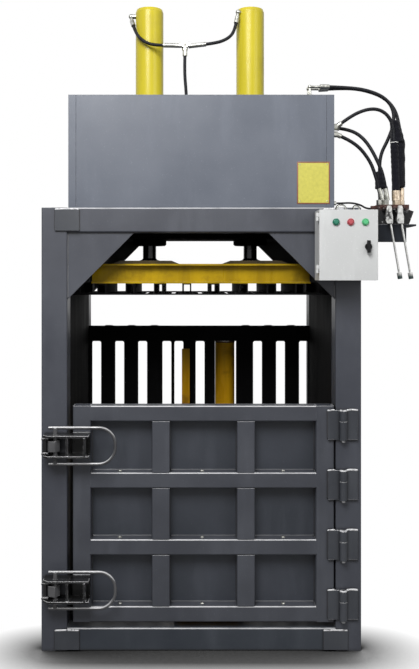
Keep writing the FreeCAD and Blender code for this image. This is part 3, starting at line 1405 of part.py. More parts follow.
def rounded_path(points):
    """Straight runs joined by tangent arcs; returns edges, and the smallest arc radius."""
    corners = [Vector(*point) for point in points]
    edges = []
    radii = []
    start = corners[0]
    for before, corner, after in zip(corners, corners[1:], corners[2:]):
        back = before - corner
        ahead = after - corner
        trim = 0.45 * min(back.Length, ahead.Length)
        half_turn = (math.pi - back.getAngle(ahead)) / 2
        radius = trim / math.tan(half_turn)
        enter = corner + back.normalize() * trim
        leave = corner + ahead.normalize() * trim
        inward = (back + ahead).normalize()
        reach = radius / math.cos(half_turn)
        middle = corner + inward * (reach - radius)
        edges.append(Part.makeLine(start, enter))
        edges.append(Part.Arc(enter, middle, leave).toShape())
        radii.append(radius)
        start = leave
    edges.append(Part.makeLine(start, corners[-1]))
    return edges, min(radii)


def swept(edges, radius):
    start = edges[0].valueAt(edges[0].FirstParameter)
    along = edges[0].tangentAt(edges[0].FirstParameter)
    ring = Part.Wire([Part.makeCircle(number(radius), start, along)])
    return Part.Wire(edges).makePipeShell([ring], True, True)


def make_hoses():
    for name, points in HOSE_LINES.items():
        edges, smallest = rounded_path(points)
        print("%s: smallest bend radius %.0f mm" % (name, smallest))
        hose = doc.addObject("Part::Feature", name + "_swept")
        radius = S["cable_radius"] if name == "control_cable" else S["hose_radius"]
        hose.Shape = swept(edges, radius)
        node(hose, name)
    edges = rounded_path(HOSE_LINES["supply_hose"][7:])[0]
    sleeve = doc.addObject("Part::Feature", "sleeve_swept")
    sleeve.Shape = swept(edges, S["sleeve_radius"]).cut(swept(edges, S["sleeve_bore"]))
    node(sleeve, "supply_hose_sleeve")


# ---------------------------------------------------------------------------
# fittings
# ---------------------------------------------------------------------------
def hexagon(name, start, way, reach, length):
    thing = doc.addObject("Part::Prism", name)
    thing.Polygon = 6
    bind(thing, "Circumradius", reach)
    bind(thing, "Height", length)
    thing.Placement.Rotation = TURNS[way]
    place(thing, start)
    return thing


def ball(name, centre, radius):
    thing = doc.addObject("Part::Sphere", name)
    bind(thing, "Radius", radius)
    place(thing, centre)
    return thing


def hose_tip(hose, end):
    """The point where a hose ends, and the way that it leads out."""
    points = [Vector(*point) for point in HOSE_LINES[hose]]
    tip, inner = (points[0], points[1]) if end == "first" else (points[-1], points[-2])
    return tip, (tip - inner).normalize()


def ferrule_foot(hose, end, length):
    tip, outward = hose_tip(hose, end)
    return tip + outward * length


def ferrule(hose, end, length, radius=S["ferrule_radius"]):
    """A crimped end in line with a hose's first or last run."""
    return slanted("%s_%s_ferrule" % (hose, end), hose_tip(hose, end)[0],
                   ferrule_foot(hose, end, length), radius)


def make_fittings():
    parts = [hexagon("cable_gland", (HOUSING_SIDE, -400, S["frame_height"] + 20), "+X", 9, 10)]
    brass = []
    # valve ports
    top = SHELF_TOP + S["valve_height"]
    for hose, x, y, reach in (("drain_hose", 16, -392, 13), ("return_hose", 43.5, -392, 13),
                              ("cap_line_hose", 31, -352, 13), ("supply_hose", 91, -385, 18),
                              ("rod_line_hose", 118, -368, 13)):
        group_of = brass if hose in ("supply_hose", "rod_line_hose") else parts
        group_of.append(hexagon(hose + "_port", (VALVE_LEFT + x, y, top), "+Z", reach, 22))
        tip = HOSE_LINES[hose][-1]
        radius = S["sleeve_radius"] if hose == "supply_hose" else S["ferrule_radius"]
        group_of.append(ferrule(hose, "last", tip[2] - number(top) - 20, radius))
    node(fuse("brass_fitting_set", brass), "brass_fittings")
    # ports in the housing's right side
    for hose, y, rise in (("supply_hose", -392, 349), ("return_hose", -352, 353),
                          ("drain_hose", -392, 316)):
        parts.append(hexagon(hose + "_side_port", (HOUSING_SIDE, y, S["frame_height"] + rise),
                             "+X", 13, 18))
        parts.append(ferrule(hose, "first", 22))
    # steel tubes and elbows on the housing's roof
    bend_x = HOUSING_SIDE - 95
    bend_z = HOUSING_HEAD + 47
    for hose, y in (("cap_line_hose", -352), ("rod_line_hose", -312)):
        parts += [ferrule(hose, "first", 40),
                  rod(hose + "_tube", (bend_x, y, bend_z), "+X", S["tube_radius"], 48),
                  ball(hose + "_elbow", (bend_x, y, bend_z), 9),
                  rod(hose + "_riser", (bend_x, y, HOUSING_HEAD), "+Z", S["tube_radius"],
                      bend_z - HOUSING_HEAD),
                  hexagon(hose + "_roof_port", (bend_x, y, HOUSING_HEAD), "+Z", 12, 14)]
    parts += [hexagon("down_port", (-62, -95, HOUSING_HEAD), "+Z", 13, 12),
              ferrule("top_down_hose", "last", 20)]
    # elbows at the cylinder caps
    barrels = []
    for side, sign, x, y, drop in (("left", -1, -328, 2, 32), ("right", 1, 180, -46, 26)):
        hose = "top_%s_hose" % side
        end = "first" if sign < 0 else "last"
        z = number(BARREL_TOP) - drop
        axis = Vector(number(CYLINDER_X) * sign, 0, z)
        corner = Vector(x, y, z)
        inward = (axis - corner).normalize()
        parts += [ferrule(hose, end, 36), ball(side + "_cap_elbow", corner, 12),
                  slanted(side + "_cap_riser", ferrule_foot(hose, end, 34), corner, 8),
                  slanted(side + "_cap_nut", corner, corner + inward * 40, 11)]
        barrels.append(rod(side + "_barrel_envelope", (CYLINDER_X * sign, 0, HOUSING_HEAD), "+Z",
                           S["barrel_radius"], 600))
    fittings = cut("fitting_set", fuse("fitting_blanks", parts), barrels)

    # tee under the two cap hoses
    centre = (-71, -95, 2668)
    tee = [box("tee_block", (-84, -107, 2656), (26, 24, 24)),
           ferrule("top_left_hose", "last", 82), ferrule("top_right_hose", "first", 82),
           ferrule("top_down_hose", "first", 38), ball("tee_ball", centre, 14)]
    tee += [hexagon("tee_left_nut", (-97, -95, 2667), "+X", 13, 14),
            hexagon("tee_right_nut", (-59, -95, 2669), "+X", 13, 14),
            hexagon("tee_down_nut", (-71, -95, 2642), "+Z", 13, 14)]
    node(group("fittings_and_tee", [fittings, fuse("tee_parts", tee)]), "hose_fittings")


# ---------------------------------------------------------------------------
# build everything and write each sub-part to a file of its own
# ---------------------------------------------------------------------------
def check_and_export():
    doc.recompute()
    for thing in doc.Objects:
        if "Invalid" in thing.State or "Error" in thing.State:
            raise RuntimeError("%s did not build" % thing.Name)
    os.makedirs("parts", exist_ok=True)
    for thing in NODES:
        shape = thing.Shape
        if shape.isNull() or not shape.isValid() or not shape.Solids:
            raise RuntimeError("%s is not a valid solid" % thing.Label)
        shape.exportStep("parts/%s.step" % thing.Label)
        print("%-24s %2d solids, %9.1f cm3" % (thing.Label, len(shape.Solids),
                                              shape.Volume / 1000))


make_posts()
make_ring("top_ring", S["top_beam_height"], S["top_beam_depth"], TOP_BEAM_FOOT)
make_ring("base_ring", S["base_beam_height"], S["post_depth"], 0)
make_gussets()
make_joint_plates()
make_crown()
make_side_walls()
make_rear_wall()
make_floor()
make_cylinders()
make_platen()
make_door()
make_hinges()
make_latches()
make_ejector()
make_housing()
make_power_unit()
make_cabinet()
make_valve()
make_levers()
make_hoses()
make_fittings()
check_and_export()
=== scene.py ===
"""Looks of the vertical recycling baler: camera, hoses, finishes and the small parts.

Metres, apart from the routes of hoses, welds and wraps, which are in millimetres.  X is to the
right, Y to the rear and Z up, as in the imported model.
"""
import math

import bpy
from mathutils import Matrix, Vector


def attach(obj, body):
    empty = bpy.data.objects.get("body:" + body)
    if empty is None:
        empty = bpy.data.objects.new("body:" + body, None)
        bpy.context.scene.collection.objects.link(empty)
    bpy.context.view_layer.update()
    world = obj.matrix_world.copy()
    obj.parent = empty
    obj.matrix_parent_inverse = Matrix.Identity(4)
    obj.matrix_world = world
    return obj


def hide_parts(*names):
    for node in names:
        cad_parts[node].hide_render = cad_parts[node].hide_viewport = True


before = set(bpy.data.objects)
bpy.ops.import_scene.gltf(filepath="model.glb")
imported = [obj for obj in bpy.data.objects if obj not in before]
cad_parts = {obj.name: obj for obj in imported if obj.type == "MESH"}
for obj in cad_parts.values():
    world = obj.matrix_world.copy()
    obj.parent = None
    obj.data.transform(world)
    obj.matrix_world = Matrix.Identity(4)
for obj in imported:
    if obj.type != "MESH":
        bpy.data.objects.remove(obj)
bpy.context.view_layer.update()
bpy.ops.object.select_all(action="DESELECT")

# ------------------------------------------------------------
# camera, level and square to the front, with its lens shifted
# ------------------------------------------------------------
CAMERA_PLACE = (-0.0565, -3.851, 1.596)
CAMERA_LENS = 43.4
CAMERA_SHIFT = (0.0321, -0.0889)

bpy.ops.object.camera_add(location=CAMERA_PLACE, rotation=(math.pi / 2, 0, 0))
camera = bpy.context.object
camera.name = "camera"
camera.data.lens = CAMERA_LENS
camera.data.sensor_width = 36
camera.data.shift_x, camera.data.shift_y = CAMERA_SHIFT
camera.data.clip_start = 0.05
camera.data.clip_end = 60
bpy.context.scene.camera = camera

# ------------------------------------------------------------
# hydraulic hoses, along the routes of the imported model, in millimetres
# ------------------------------------------------------------
HOSE_ROUTES = {
    "supply_hose": [
        (600, -392, 2246), (639, -392, 2275), (689, -392, 2300), (736, -391, 2310),
        (775, -390, 2302), (807, -389, 2275), (824, -388, 2234), (829, -386, 2170),
        (832, -385, 2100), (835, -385, 2030), (837, -385, 1958),
    ],
    "cap_line_hose": [
        (556, -352, 2412), (638, -352, 2409), (716, -352, 2399), (790, -352, 2371),
        (833, -352, 2323), (838, -352, 2256), (812, -352, 2184), (779, -352, 2121),
        (773, -352, 2052), (777, -352, 1967),
    ],
    "rod_line_hose": [
        (556, -312, 2412), (641, -312, 2417), (724, -315, 2405), (802, -320, 2374),
        (850, -330, 2317), (864, -342, 2236), (872, -352, 2152), (868, -362, 2060),
        (867, -366, 1970),
    ],
    "return_hose": [
        (600, -352, 2232), (646, -356, 2225), (696, -366, 2193), (732, -380, 2139),
        (759, -390, 2079), (781, -392, 2026), (790, -392, 1967),
    ],
    "drain_hose": [
        (600, -392, 2190), (630, -392, 2177), (677, -392, 2145), (712, -392, 2102),
        (740, -392, 2051), (763, -392, 1967),
    ],
    "top_left_hose": [
        (-315, -30, 2776), (-301, -62, 2729), (-264, -88, 2686), (-220, -95, 2667),
        (-173, -95, 2666),
    ],
    "top_right_hose": [
        (27, -95, 2671), (79, -95, 2677), (128, -88, 2698), (159, -76, 2732), (169, -62, 2779),
    ],
    "control_cable": [
        (577, -400, 1903), (598, -400, 1903), (642, -403, 1905), (681, -403, 1896),
        (706, -401, 1880), (726, -401, 1880),
    ],
    "top_down_hose": [
        (-71, -95, 2616), (-73, -95, 2540), (-66, -95, 2460), (-62, -95, 2392),
    ],
}
HOSE_RADIUS = 0.0075
CABLE_RADIUS = 0.004
SLEEVE_RADIUS = 0.0185
SLEEVE_HEAD = 2.173


def route_curve(name, route, radius):
    """One open NURBS spline through space, with the route's points as its control points."""
    line = bpy.data.curves.new(name, "CURVE")
    line.dimensions = "3D"
    spline = line.splines.new("NURBS")
    spline.points.add(len(route) - 1)
    for point, (x, y, z) in zip(spline.points, route):
        point.co = (x / 1000, y / 1000, z / 1000, 1)
    spline.order_u = 3
    spline.use_endpoint_u = True
    spline.resolution_u = 10
    line.bevel_depth = radius
    line.bevel_resolution = 5
    line.use_fill_caps = radius > 0
    piece = bpy.data.objects.new(name, line)
    bpy.context.scene.collection.objects.link(piece)
    return piece


def points_along(route):
    """The centreline of a route, read from its own spline."""
    guide = route_curve("guide", route, 0)
    bpy.context.view_layer.update()
    measured = bpy.data.meshes.new_from_object(guide)
    found = [v.co.copy() for v in measured.vertices]
    bpy.data.meshes.remove(measured)
    bpy.data.objects.remove(guide)
    return found


# ------------------------------------------------------------
# finishes
# ------------------------------------------------------------
class Finish:
    """A material whose patterns read Object coordinates, or a hose's own map."""

    def __init__(self, name, colour, roughness, metallic=0.0):
        self.material = bpy.data.materials.new(name)
        self.material.use_nodes = True
        self.tree = self.material.node_tree
        self.shader = self.tree.nodes["Principled BSDF"]
        self.put("Base Color", (*colour, 1))
        self.put("Roughness", roughness)
        self.put("Metallic", metallic)
        coordinates = self.add("ShaderNodeTexCoord")
        self.place = coordinates.outputs["Object"]
        self.own_map = coordinates.outputs["UV"]

    def put(self, socket, value):
        self.shader.inputs[socket].default_value = value

    def add(self, kind):
        return self.tree.nodes.new(kind)

    def join(self, source, target):
        self.tree.links.new(source, target)

    def feed(self, value, socket):
        """Set a socket to a plain value, or join another node's output to it."""
        if isinstance(value, (int, float, tuple)):
            socket.default_value = value
        else:
            self.join(value, socket)

    def noise(self, scale, detail=3.0, rough=0.55, place=None):
        spots = self.add("ShaderNodeTexNoise")
        spots.inputs["Scale"].default_value = scale
        spots.inputs["Detail"].default_value = detail
        spots.inputs["Roughness"].default_value = rough
        self.join(place or self.place, spots.inputs["Vector"])
        return spots.outputs["Fac"]

    def stretched(self, scale):
        """Object coordinates, drawn out along an axis."""
        drawn = self.add("ShaderNodeMapping")
        drawn.inputs["Scale"].default_value = scale
        self.join(self.place, drawn.inputs["Vector"])
        return drawn.outputs["Vector"]

    def span(self, value, low, high, to_low=0.0, to_high=1.0):
        """A value that runs from to_low to to_high while the source runs from low to high."""
        ranged = self.add("ShaderNodeMapRange")
        for socket, number in zip(("From Min", "From Max", "To Min", "To Max"),
                                  (low, high, to_low, to_high)):
            ranged.inputs[socket].default_value = number
        self.join(value, ranged.inputs["Value"])
        return ranged.outputs["Result"]

    def maths(self, operation, first, second):
        result = self.add("ShaderNodeMath")
        result.operation = operation
        self.feed(first, result.inputs[0])
        self.feed(second, result.inputs[1])
        return result.outputs[0]

    def blend(self, amount, under, over):
        """A colour laid over another by an amount; either may be a colour or a socket."""
        coats = self.add("ShaderNodeMix")
        coats.data_type = "RGBA"
        self.feed(amount, coats.inputs[0])
        for index, value in ((6, under), (7, over)):
            self.feed((*value, 1) if isinstance(value, tuple) else value, coats.inputs[index])
        return coats.outputs[2]

    def along(self, axis, vector=None):
        """The X, Y or Z of a vector, which is the Object coordinates unless one is given."""
        split = self.add("ShaderNodeSeparateXYZ")
        self.join(vector or self.place, split.inputs[0])
        return split.outputs[axis]

    def rounded_normal(self, radius):
        rounded = self.add("ShaderNodeBevel")
        rounded.samples = 4
        rounded.inputs["Radius"].default_value = radius
        return rounded.outputs["Normal"]

    def turn_between(self, first, second):
        """The cosine of the turn between two normals."""
        turn = self.add("ShaderNodeVectorMath")
        turn.operation = "DOT_PRODUCT"
        self.join(first, turn.inputs[0])
        self.join(second, turn.inputs[1])
        return turn.outputs["Value"]

    def edges(self, radius):
        """One on rounded edges and nought on flat faces."""
        flat = self.add("ShaderNodeNewGeometry").outputs["Normal"]
        return self.span(self.turn_between(self.rounded_normal(radius), flat), 0.985, 0.86)

    def upper_edges(self, radius):
        """One where a face that looks outwards turns over towards the sky."""
        rounded = self.rounded_normal(radius)
        flat = self.add("ShaderNodeNewGeometry").outputs["Normal"]
        sharp = self.maths("MULTIPLY", self.span(self.turn_between(rounded, flat), 0.985, 0.9),
                           self.span(self.along("Z", rounded), 0.12, 0.3))
        slope = self.along("Z", flat)
        fillet = self.maths("MULTIPLY", self.span(slope, 0.3, 0.5), self.span(slope, 0.99, 0.95))
        return self.maths("MAXIMUM", sharp, fillet)

    def relief(self, grains, edge=0.0):
        """Bumps laid one over the other, on a surface whose edges are softened."""
        surface = self.rounded_normal(edge) if edge else None
        for grain, strength, depth in grains:
            bump = self.add("ShaderNodeBump")
            bump.inputs["Strength"].default_value = strength
            bump.inputs["Distance"].default_value = depth
            self.join(grain, bump.inputs["Height"])
            if surface is not None:
                self.join(surface, bump.inputs["Normal"])
            surface = bump.outputs["Normal"]
        self.join(surface, self.shader.inputs["Normal"])

    def paint(self, source):
        self.join(source, self.shader.inputs["Base Color"])

    def shine(self, source):
        self.join(source, self.shader.inputs["Roughness"])


def steel_paint(name, colour, dark, roughness, edge_colour, coat=0.0, rub=0.5, edge=0.0015,
                painted_top_highlight=0.0, painted_shade_depth=None, painted_crease_shade=0.0):
    """Sprayed paint on steel: clouds of tone, dust, orange peel, rubbed edges, a painted highlight
    along upper edges and painted shade in corners and creases.

    Past the depth that its argument gives, along Y, the paint is near black: painted shade, as
    inside a deep hole.
    """
    made = Finish(name, colour, roughness)
    clouds = made.noise(2.6, 4, 0.6)
    smears = made.noise(9, 5, 0.62, made.stretched((1.0, 1.0, 0.22)))
    tone = made.blend(made.span(clouds, 0.36, 0.68), dark, colour)
    tone = made.blend(made.span(smears, 0.52, 0.8, 0.0, 0.35), tone,
                      tuple(min(1.0, c * 1.5 + 0.012) for c in colour))
    specks = made.noise(190, 2, 0.5)
    tone = made.blend(made.span(specks, 0.66, 0.76, 0.0, 0.35), tone,
                      tuple(c * 1.9 + 0.02 for c in colour))
    chips = made.span(made.noise(46, 4, 0.7), 0.45, 0.62)
    rubbed = made.maths("MULTIPLY", made.edges(edge * 1.6), chips)
    tone = made.blend(made.maths("MULTIPLY", rubbed, rub), tone, edge_colour)
    # painted highlight: a near-white line along the upper edges, standing in for light from above
    if painted_top_highlight:
        lit = made.maths("MULTIPLY", made.upper_edges(0.0042), made.span(smears, 0.25, 0.5, 0.4, 1))
        tone = made.blend(made.maths("MULTIPLY", lit, painted_top_highlight), tone, (0.8, 0.8, 0.81))
    # painted shade: near black past a depth along Y, as inside a deep hole
    if painted_shade_depth is not None:
        inside = made.span(made.along("Y"), painted_shade_depth, painted_shade_depth + 0.012)
        tone = made.blend(inside, tone, (0.002, 0.002, 0.002))
    # painted shade: darker in corners, creases and gaps, from ambient occlusion
    if painted_crease_shade:
        nook = made.add("ShaderNodeAmbientOcclusion")
        nook.samples = 8
        nook.inputs["Distance"].default_value = 0.022
        tone = made.blend(made.span(nook.outputs["AO"], 0.3, 0.85, painted_crease_shade, 0.0), tone,
                          (0.005, 0.005, 0.006))
    made.paint(tone)
    worn = made.maths("ADD", made.span(smears, 0.3, 0.75, roughness - 0.07, roughness + 0.1),
                      made.span(clouds, 0.3, 0.7, -0.04, 0.05))
    made.shine(worn)
    made.relief([(made.noise(520, 2, 0.5), 0.16, 0.0006), (made.noise(7, 2, 0.5), 0.25, 0.004)],
                edge)
    if coat:
        made.put("Coat Weight", coat)
        made.put("Coat Roughness", 0.18)
    return made


# Most of these paints carry a painted highlight along their upper edges and painted shade in their
# corners, in the amounts their keywords give.
frame_paint = steel_paint("slate grey frame paint", (0.047, 0.051, 0.064), (0.033, 0.036, 0.047),
                          0.45, (0.16, 0.16, 0.17), coat=0.2, painted_top_highlight=0.45, painted_crease_shade=0.8)
door_paint = steel_paint("slate grey door paint", (0.05, 0.054, 0.066), (0.035, 0.038, 0.048),
                         0.46, (0.2, 0.2, 0.21), coat=0.18, rub=0.6, painted_top_highlight=0.6, painted_crease_shade=0.8)
flush_paint = steel_paint("ground weld paint", (0.05, 0.054, 0.066), (0.035, 0.038, 0.048),
                          0.46, (0.2, 0.2, 0.21), coat=0.18, rub=0.0, edge=0.0)
# painted shade: the frame's slate grey, darker for the base ring, where less light falls
shaded_base_paint = steel_paint("slate grey base paint in painted shade", (0.031, 0.037, 0.047), (0.02, 0.025, 0.034),
                         0.45, (0.16, 0.16, 0.17), coat=0.15, painted_top_highlight=0.45, painted_crease_shade=0.8)
shelf_paint = steel_paint("blue-black shelf paint", (0.012, 0.015, 0.021), (0.005, 0.006, 0.009),
                          0.4, (0.2, 0.2, 0.21), rub=0.7, painted_top_highlight=0.3)
shelf_paint.put("Specular IOR Level", 0.2)
# painted shade: the door's paint, darker for the door skin recessed in its pockets
shaded_pocket_paint = steel_paint("door skin paint in painted shade", (0.031, 0.035, 0.046), (0.021, 0.025, 0.033),
                           0.5, (0.12, 0.12, 0.13), coat=0.1)
hinge_paint = steel_paint("hinge paint", (0.04, 0.044, 0.053), (0.026, 0.029, 0.036), 0.42,
                          (0.1, 0.1, 0.11), coat=0.25, rub=0.6, edge=0.002, painted_top_highlight=1.0, painted_crease_shade=0.95)
housing_paint = steel_paint("blue-grey housing coat", (0.086, 0.097, 0.122),
                            (0.066, 0.076, 0.099), 0.44, (0.3, 0.31, 0.34), coat=0.15)
# painted shade: near black, with little reflection, for the chamber's inside and the parts within
# it
chamber_shade_paint = steel_paint("near-black chamber paint in painted shade", (0.004, 0.004, 0.0044), (0.002, 0.002, 0.0023),
                            0.7, (0.03, 0.028, 0.026), rub=0.6)
chamber_shade_paint.put("Specular IOR Level", 0.06)
# painted shade: the latch is near black inside, past its depth along Y
latch_paint = steel_paint("gloss black latch paint", (0.012, 0.012, 0.013), (0.006, 0.006, 0.007),
                          0.27, (0.5, 0.5, 0.51), coat=0.25, rub=0.95, edge=0.0014, painted_top_highlight=1.0,
                          painted_shade_depth=-0.474)
latch_paint.put("Specular IOR Level", 0.3)
handle_paint = steel_paint("worn handle paint", (0.09, 0.09, 0.094), (0.035, 0.035, 0.038), 0.3,
                           (0.5, 0.5, 0.51), coat=0.5, rub=0.9, edge=0.001, painted_top_highlight=0.5)
cabinet_paint = steel_paint("light grey cabinet coat", (0.5, 0.507, 0.505), (0.46, 0.467, 0.465),
                            0.4, (0.7, 0.7, 0.7), coat=0.15, rub=0.3)
bead_metal = steel_paint("painted weld bead", (0.12, 0.122, 0.13), (0.05, 0.052, 0.058), 0.3,
                         (0.3, 0.3, 0.31), coat=0.5, rub=0.7, edge=0.0006)
# painted shade: weld beads along the shaded sides and bottoms of hinges, plates and pockets
shade_bead = steel_paint("weld bead in painted shade", (0.024, 0.025, 0.03), (0.012, 0.012, 0.015), 0.42,
                        (0.05, 0.05, 0.055), coat=0.2, rub=0.3, edge=0.0006, painted_crease_shade=0.9)
scorched_bead = steel_paint("scorched weld bead", (0.1, 0.045, 0.012), (0.02, 0.012, 0.006), 0.6,
                            (0.3, 0.2, 0.05), rub=0.7, edge=0.0006)


def yellow_enamel(name, colour, deep, grime, dirt, gloss):
    """Yellow enamel with runs down its length, greasy grime and small chips."""
    made = Finish(name, colour, 0.3)
    runs = made.noise(11, 4, 0.6, made.stretched((1.0, 1.0, 0.12)))
    tone = made.blend(made.span(runs, 0.34, 0.7), deep, colour)
    stains = made.span(made.noise(5.5, 6, 0.68), 0.52, 0.74, 0.0, dirt)
    tone = made.blend(stains, tone, grime)
    chips = made.span(made.noise(60, 4, 0.72), 0.5, 0.6)
    rubbed = made.maths("MULTIPLY", made.edges(0.003), chips)
    tone = made.blend(made.maths("MULTIPLY", rubbed, 0.75), tone, (0.14, 0.1, 0.06))
    made.paint(tone)
    made.shine(made.maths("ADD", made.span(runs, 0.3, 0.7, 0.22, 0.36),
                          made.maths("MULTIPLY", stains, 0.3)))
    made.relief([(made.noise(420, 2, 0.5), 0.12, 0.0005), (made.noise(14, 3, 0.5), 0.2, 0.003)],
                0.0018)
    made.put("Specular IOR Level", gloss)
    return made


barrel_enamel = yellow_enamel("yellow barrel enamel", (0.5, 0.42, 0.022), (0.42, 0.35, 0.018),
                              (0.28, 0.22, 0.04), 0.45, 0.22)
barrel_enamel.put("Coat Weight", 0.05)
# painted shade: the barrels' yellow, darker and deeper for the platen under the top beam
shaded_beam_enamel = yellow_enamel("yellow platen enamel in painted shade", (0.42, 0.28, 0.006), (0.28, 0.18, 0.005),
                            (0.08, 0.05, 0.006), 0.8, 0.15)
# a very dark brown-yellow enamel for the rod plates
plate_enamel = yellow_enamel("dark brown-yellow plate enamel", (0.05, 0.033, 0.006),
                             (0.02, 0.014, 0.004), (0.01, 0.008, 0.004), 0.8, 0.3)
ejector_enamel = yellow_enamel("scuffed yellow enamel", (0.85, 0.46, 0.01), (0.5, 0.25, 0.008),
                               (0.12, 0.05, 0.008), 0.8, 0.15)


def bare_metal(name, colour, dull, roughness, grain=(1, 1, 1), scale=60):
    """Plated or turned metal with fine scratches, fingermarks and a little tarnish."""
    made = Finish(name, colour, roughness, 1.0)
    scratches = made.noise(scale, 5, 0.65, made.stretched(grain))
    tarnish = made.noise(22, 4, 0.6)
    tone = made.blend(made.span(scratches, 0.3, 0.7), dull, colour)
    tone = made.blend(made.span(tarnish, 0.55, 0.8, 0.0, 0.6), tone,
                      tuple(c * 0.45 for c in colour))
    made.paint(tone)
    made.shine(made.maths("ADD", made.span(scratches, 0.3, 0.7, roughness - 0.08, roughness + 0.08),
                          made.span(tarnish, 0.5, 0.8, 0.0, 0.18)))
    made.relief([(scratches, 0.2, 0.0004), (tarnish, 0.15, 0.0008)], 0.0008)
    return made


zinc = bare_metal("zinc plate", (0.56, 0.56, 0.52), (0.2, 0.2, 0.18), 0.34)
turned_steel = bare_metal("turned steel", (0.5, 0.5, 0.51), (0.36, 0.36, 0.37), 0.34,
                          (1, 1, 14), 40)
dull_brass = bare_metal("dull brass", (0.7, 0.6, 0.48), (0.34, 0.26, 0.18), 0.36)
# painted shade: chrome made dark, for rods that stand in shade
shaded_rod_chrome = bare_metal("chrome darkened as painted shade", (0.05, 0.05, 0.052), (0.03, 0.03, 0.032), 0.24,
                        (1, 1, 0.1), 60)


def painted_highlight_bead(name):
    """A weld bead lit as a painted highlight, in ragged patches."""
    made = Finish(name, (0.7, 0.7, 0.71), 0.35)
    # painted highlight: near-white patches over dark grey
    highlight_patches = made.span(made.noise(75, 4, 0.7), 0.36, 0.5)
    made.paint(made.blend(highlight_patches, (0.1, 0.1, 0.11), (0.62, 0.62, 0.63)))
    made.relief([(made.noise(300, 3, 0.6), 0.5, 0.0008)])
    return made


highlight_bead = painted_highlight_bead("weld bead with ragged painted highlight")


def casting(name):
    """Dark iron, coarse from the sand, with pale specks that are painted glints and reddish rust
    towards its head.
    """
    made = Finish(name, (0.06, 0.058, 0.06), 0.55)
    sand = made.noise(260, 3, 0.6)
    rust = made.noise(38, 5, 0.66)
    head = made.span(made.along("Z"), 1.868, 1.888)
    tone = made.blend(made.span(sand, 0.35, 0.7), (0.004, 0.004, 0.005), (0.018, 0.018, 0.019))
    # painted highlight: pale specks that stand for glints on the casting
    worn = made.span(made.noise(42, 3, 0.6), 0.62, 0.68)
    tone = made.blend(worn, tone, (0.35, 0.35, 0.35))
    amount = made.maths("MULTIPLY", head, made.span(rust, 0.3, 0.55))
    tone = made.blend(amount, tone, (0.06, 0.022, 0.016))
    made.paint(tone)
    made.shine(made.span(sand, 0.3, 0.7, 0.42, 0.66))
    made.relief([(sand, 0.45, 0.0008), (rust, 0.3, 0.0015)], 0.0015)
    made.put("Specular IOR Level", 0.25)
    return made


valve_casting = casting("valve casting")


def moulding(name, colour, roughness, gloss=0.0):
    """Moulded plastic: fine grain, with a little fade in patches."""
    made = Finish(name, colour, roughness)
    patches = made.noise(70, 3, 0.6)
    made.paint(made.blend(made.span(patches, 0.35, 0.7), tuple(c * 0.82 for c in colour), colour))
    made.shine(made.span(patches, 0.3, 0.7, roughness - 0.04, roughness + 0.08))
    made.relief([(made.noise(1400, 2, 0.5), 0.12, 0.0002)], 0.0007)
    if gloss:
        made.put("Coat Weight", gloss)
        made.put("Coat Roughness", 0.08)
    return made


black_moulding = moulding("black moulding", (0.006, 0.006, 0.007), 0.45)
black_moulding.put("Specular IOR Level", 0.2)
green_cap = moulding("dark green cap", (0.008, 0.17, 0.1), 0.3, 0.4)
red_cap = moulding("red cap", (0.42, 0.06, 0.075), 0.3, 0.4)
light_green_cap = moulding("light green cap", (0.08, 0.46, 0.19), 0.3, 0.4)
tie_nylon = moulding("white nylon", (0.72, 0.72, 0.7), 0.35)
plate_yellow = moulding("pale yellow plate", (0.5, 0.46, 0.075), 0.5)
plate_border = moulding("red-brown border", (0.2, 0.07, 0.035), 0.45)


def hose_cover(name, colour, wraps, threads):
    """Rubber hose with a spiral cloth wrap, laid along the hose's own map."""
    made = Finish(name, colour, 0.5)
    made.put("Specular IOR Level", 0.16)
    turned = made.add("ShaderNodeMapping")
    turned.inputs["Scale"].default_value = (wraps, threads, 1)
    turned.inputs["Rotation"].default_value = (0, 0, 0.5)
    made.join(made.own_map, turned.inputs["Vector"])
    spiral = made.add("ShaderNodeTexWave")
    spiral.inputs["Scale"].default_value = 1.0
    spiral.inputs["Distortion"].default_value = 0.4
    made.join(turned.outputs["Vector"], spiral.inputs["Vector"])
    dust = made.noise(34, 5, 0.65)
    tone = made.blend(spiral.outputs["Fac"], tuple(c * 0.6 for c in colour), colour)
    tone = made.blend(made.span(dust, 0.52, 0.78, 0.0, 0.5), tone,
                      tuple(c * 3 + 0.008 for c in colour))
    made.paint(tone)
    made.shine(made.span(dust, 0.35, 0.7, 0.42, 0.6))
    made.relief([(spiral.outputs["Fac"], 0.3, 0.0005), (made.noise(900, 2, 0.5), 0.2, 0.0003)])
    return made


hose_rubber = hose_cover("black hose cover", (0.008, 0.0085, 0.011), 160, 3)
cable_jacket = hose_cover("black cable jacket", (0.01, 0.01, 0.011), 60, 2)


def woven_sleeve(name):
    """Black woven sleeve: warp and weft stand proud, with loose grey threads."""
    made = Finish(name, (0.008, 0.008, 0.009), 0.85)
    turn = 6.3
    ribs = []
    for direction, count in (("X", 120.0), ("Y", 60.0)):
        ridge = made.add("ShaderNodeTexWave")
        ridge.bands_direction = direction
        ridge.inputs["Scale"].default_value = count / turn
        ridge.inputs["Distortion"].default_value = 0.6
        made.join(made.own_map, ridge.inputs["Vector"])
        ribs.append(ridge.outputs["Fac"])
    weave = made.maths("MULTIPLY", *ribs)
    threads = made.span(made.noise(300, 3, 0.7), 0.6, 0.7)
    tone = made.blend(weave, (0.002, 0.002, 0.004), (0.009, 0.009, 0.014))
    made.paint(made.blend(made.maths("MULTIPLY", threads, 0.4), tone, (0.08, 0.09, 0.12)))
    made.relief([(weave, 0.7, 0.0012), (made.noise(60, 4, 0.6), 0.5, 0.003)])
    made.put("Specular IOR Level", 0.1)
    made.put("Sheen Weight", 0.1)
    return made


sleeve_cloth = woven_sleeve("black woven sleeve")


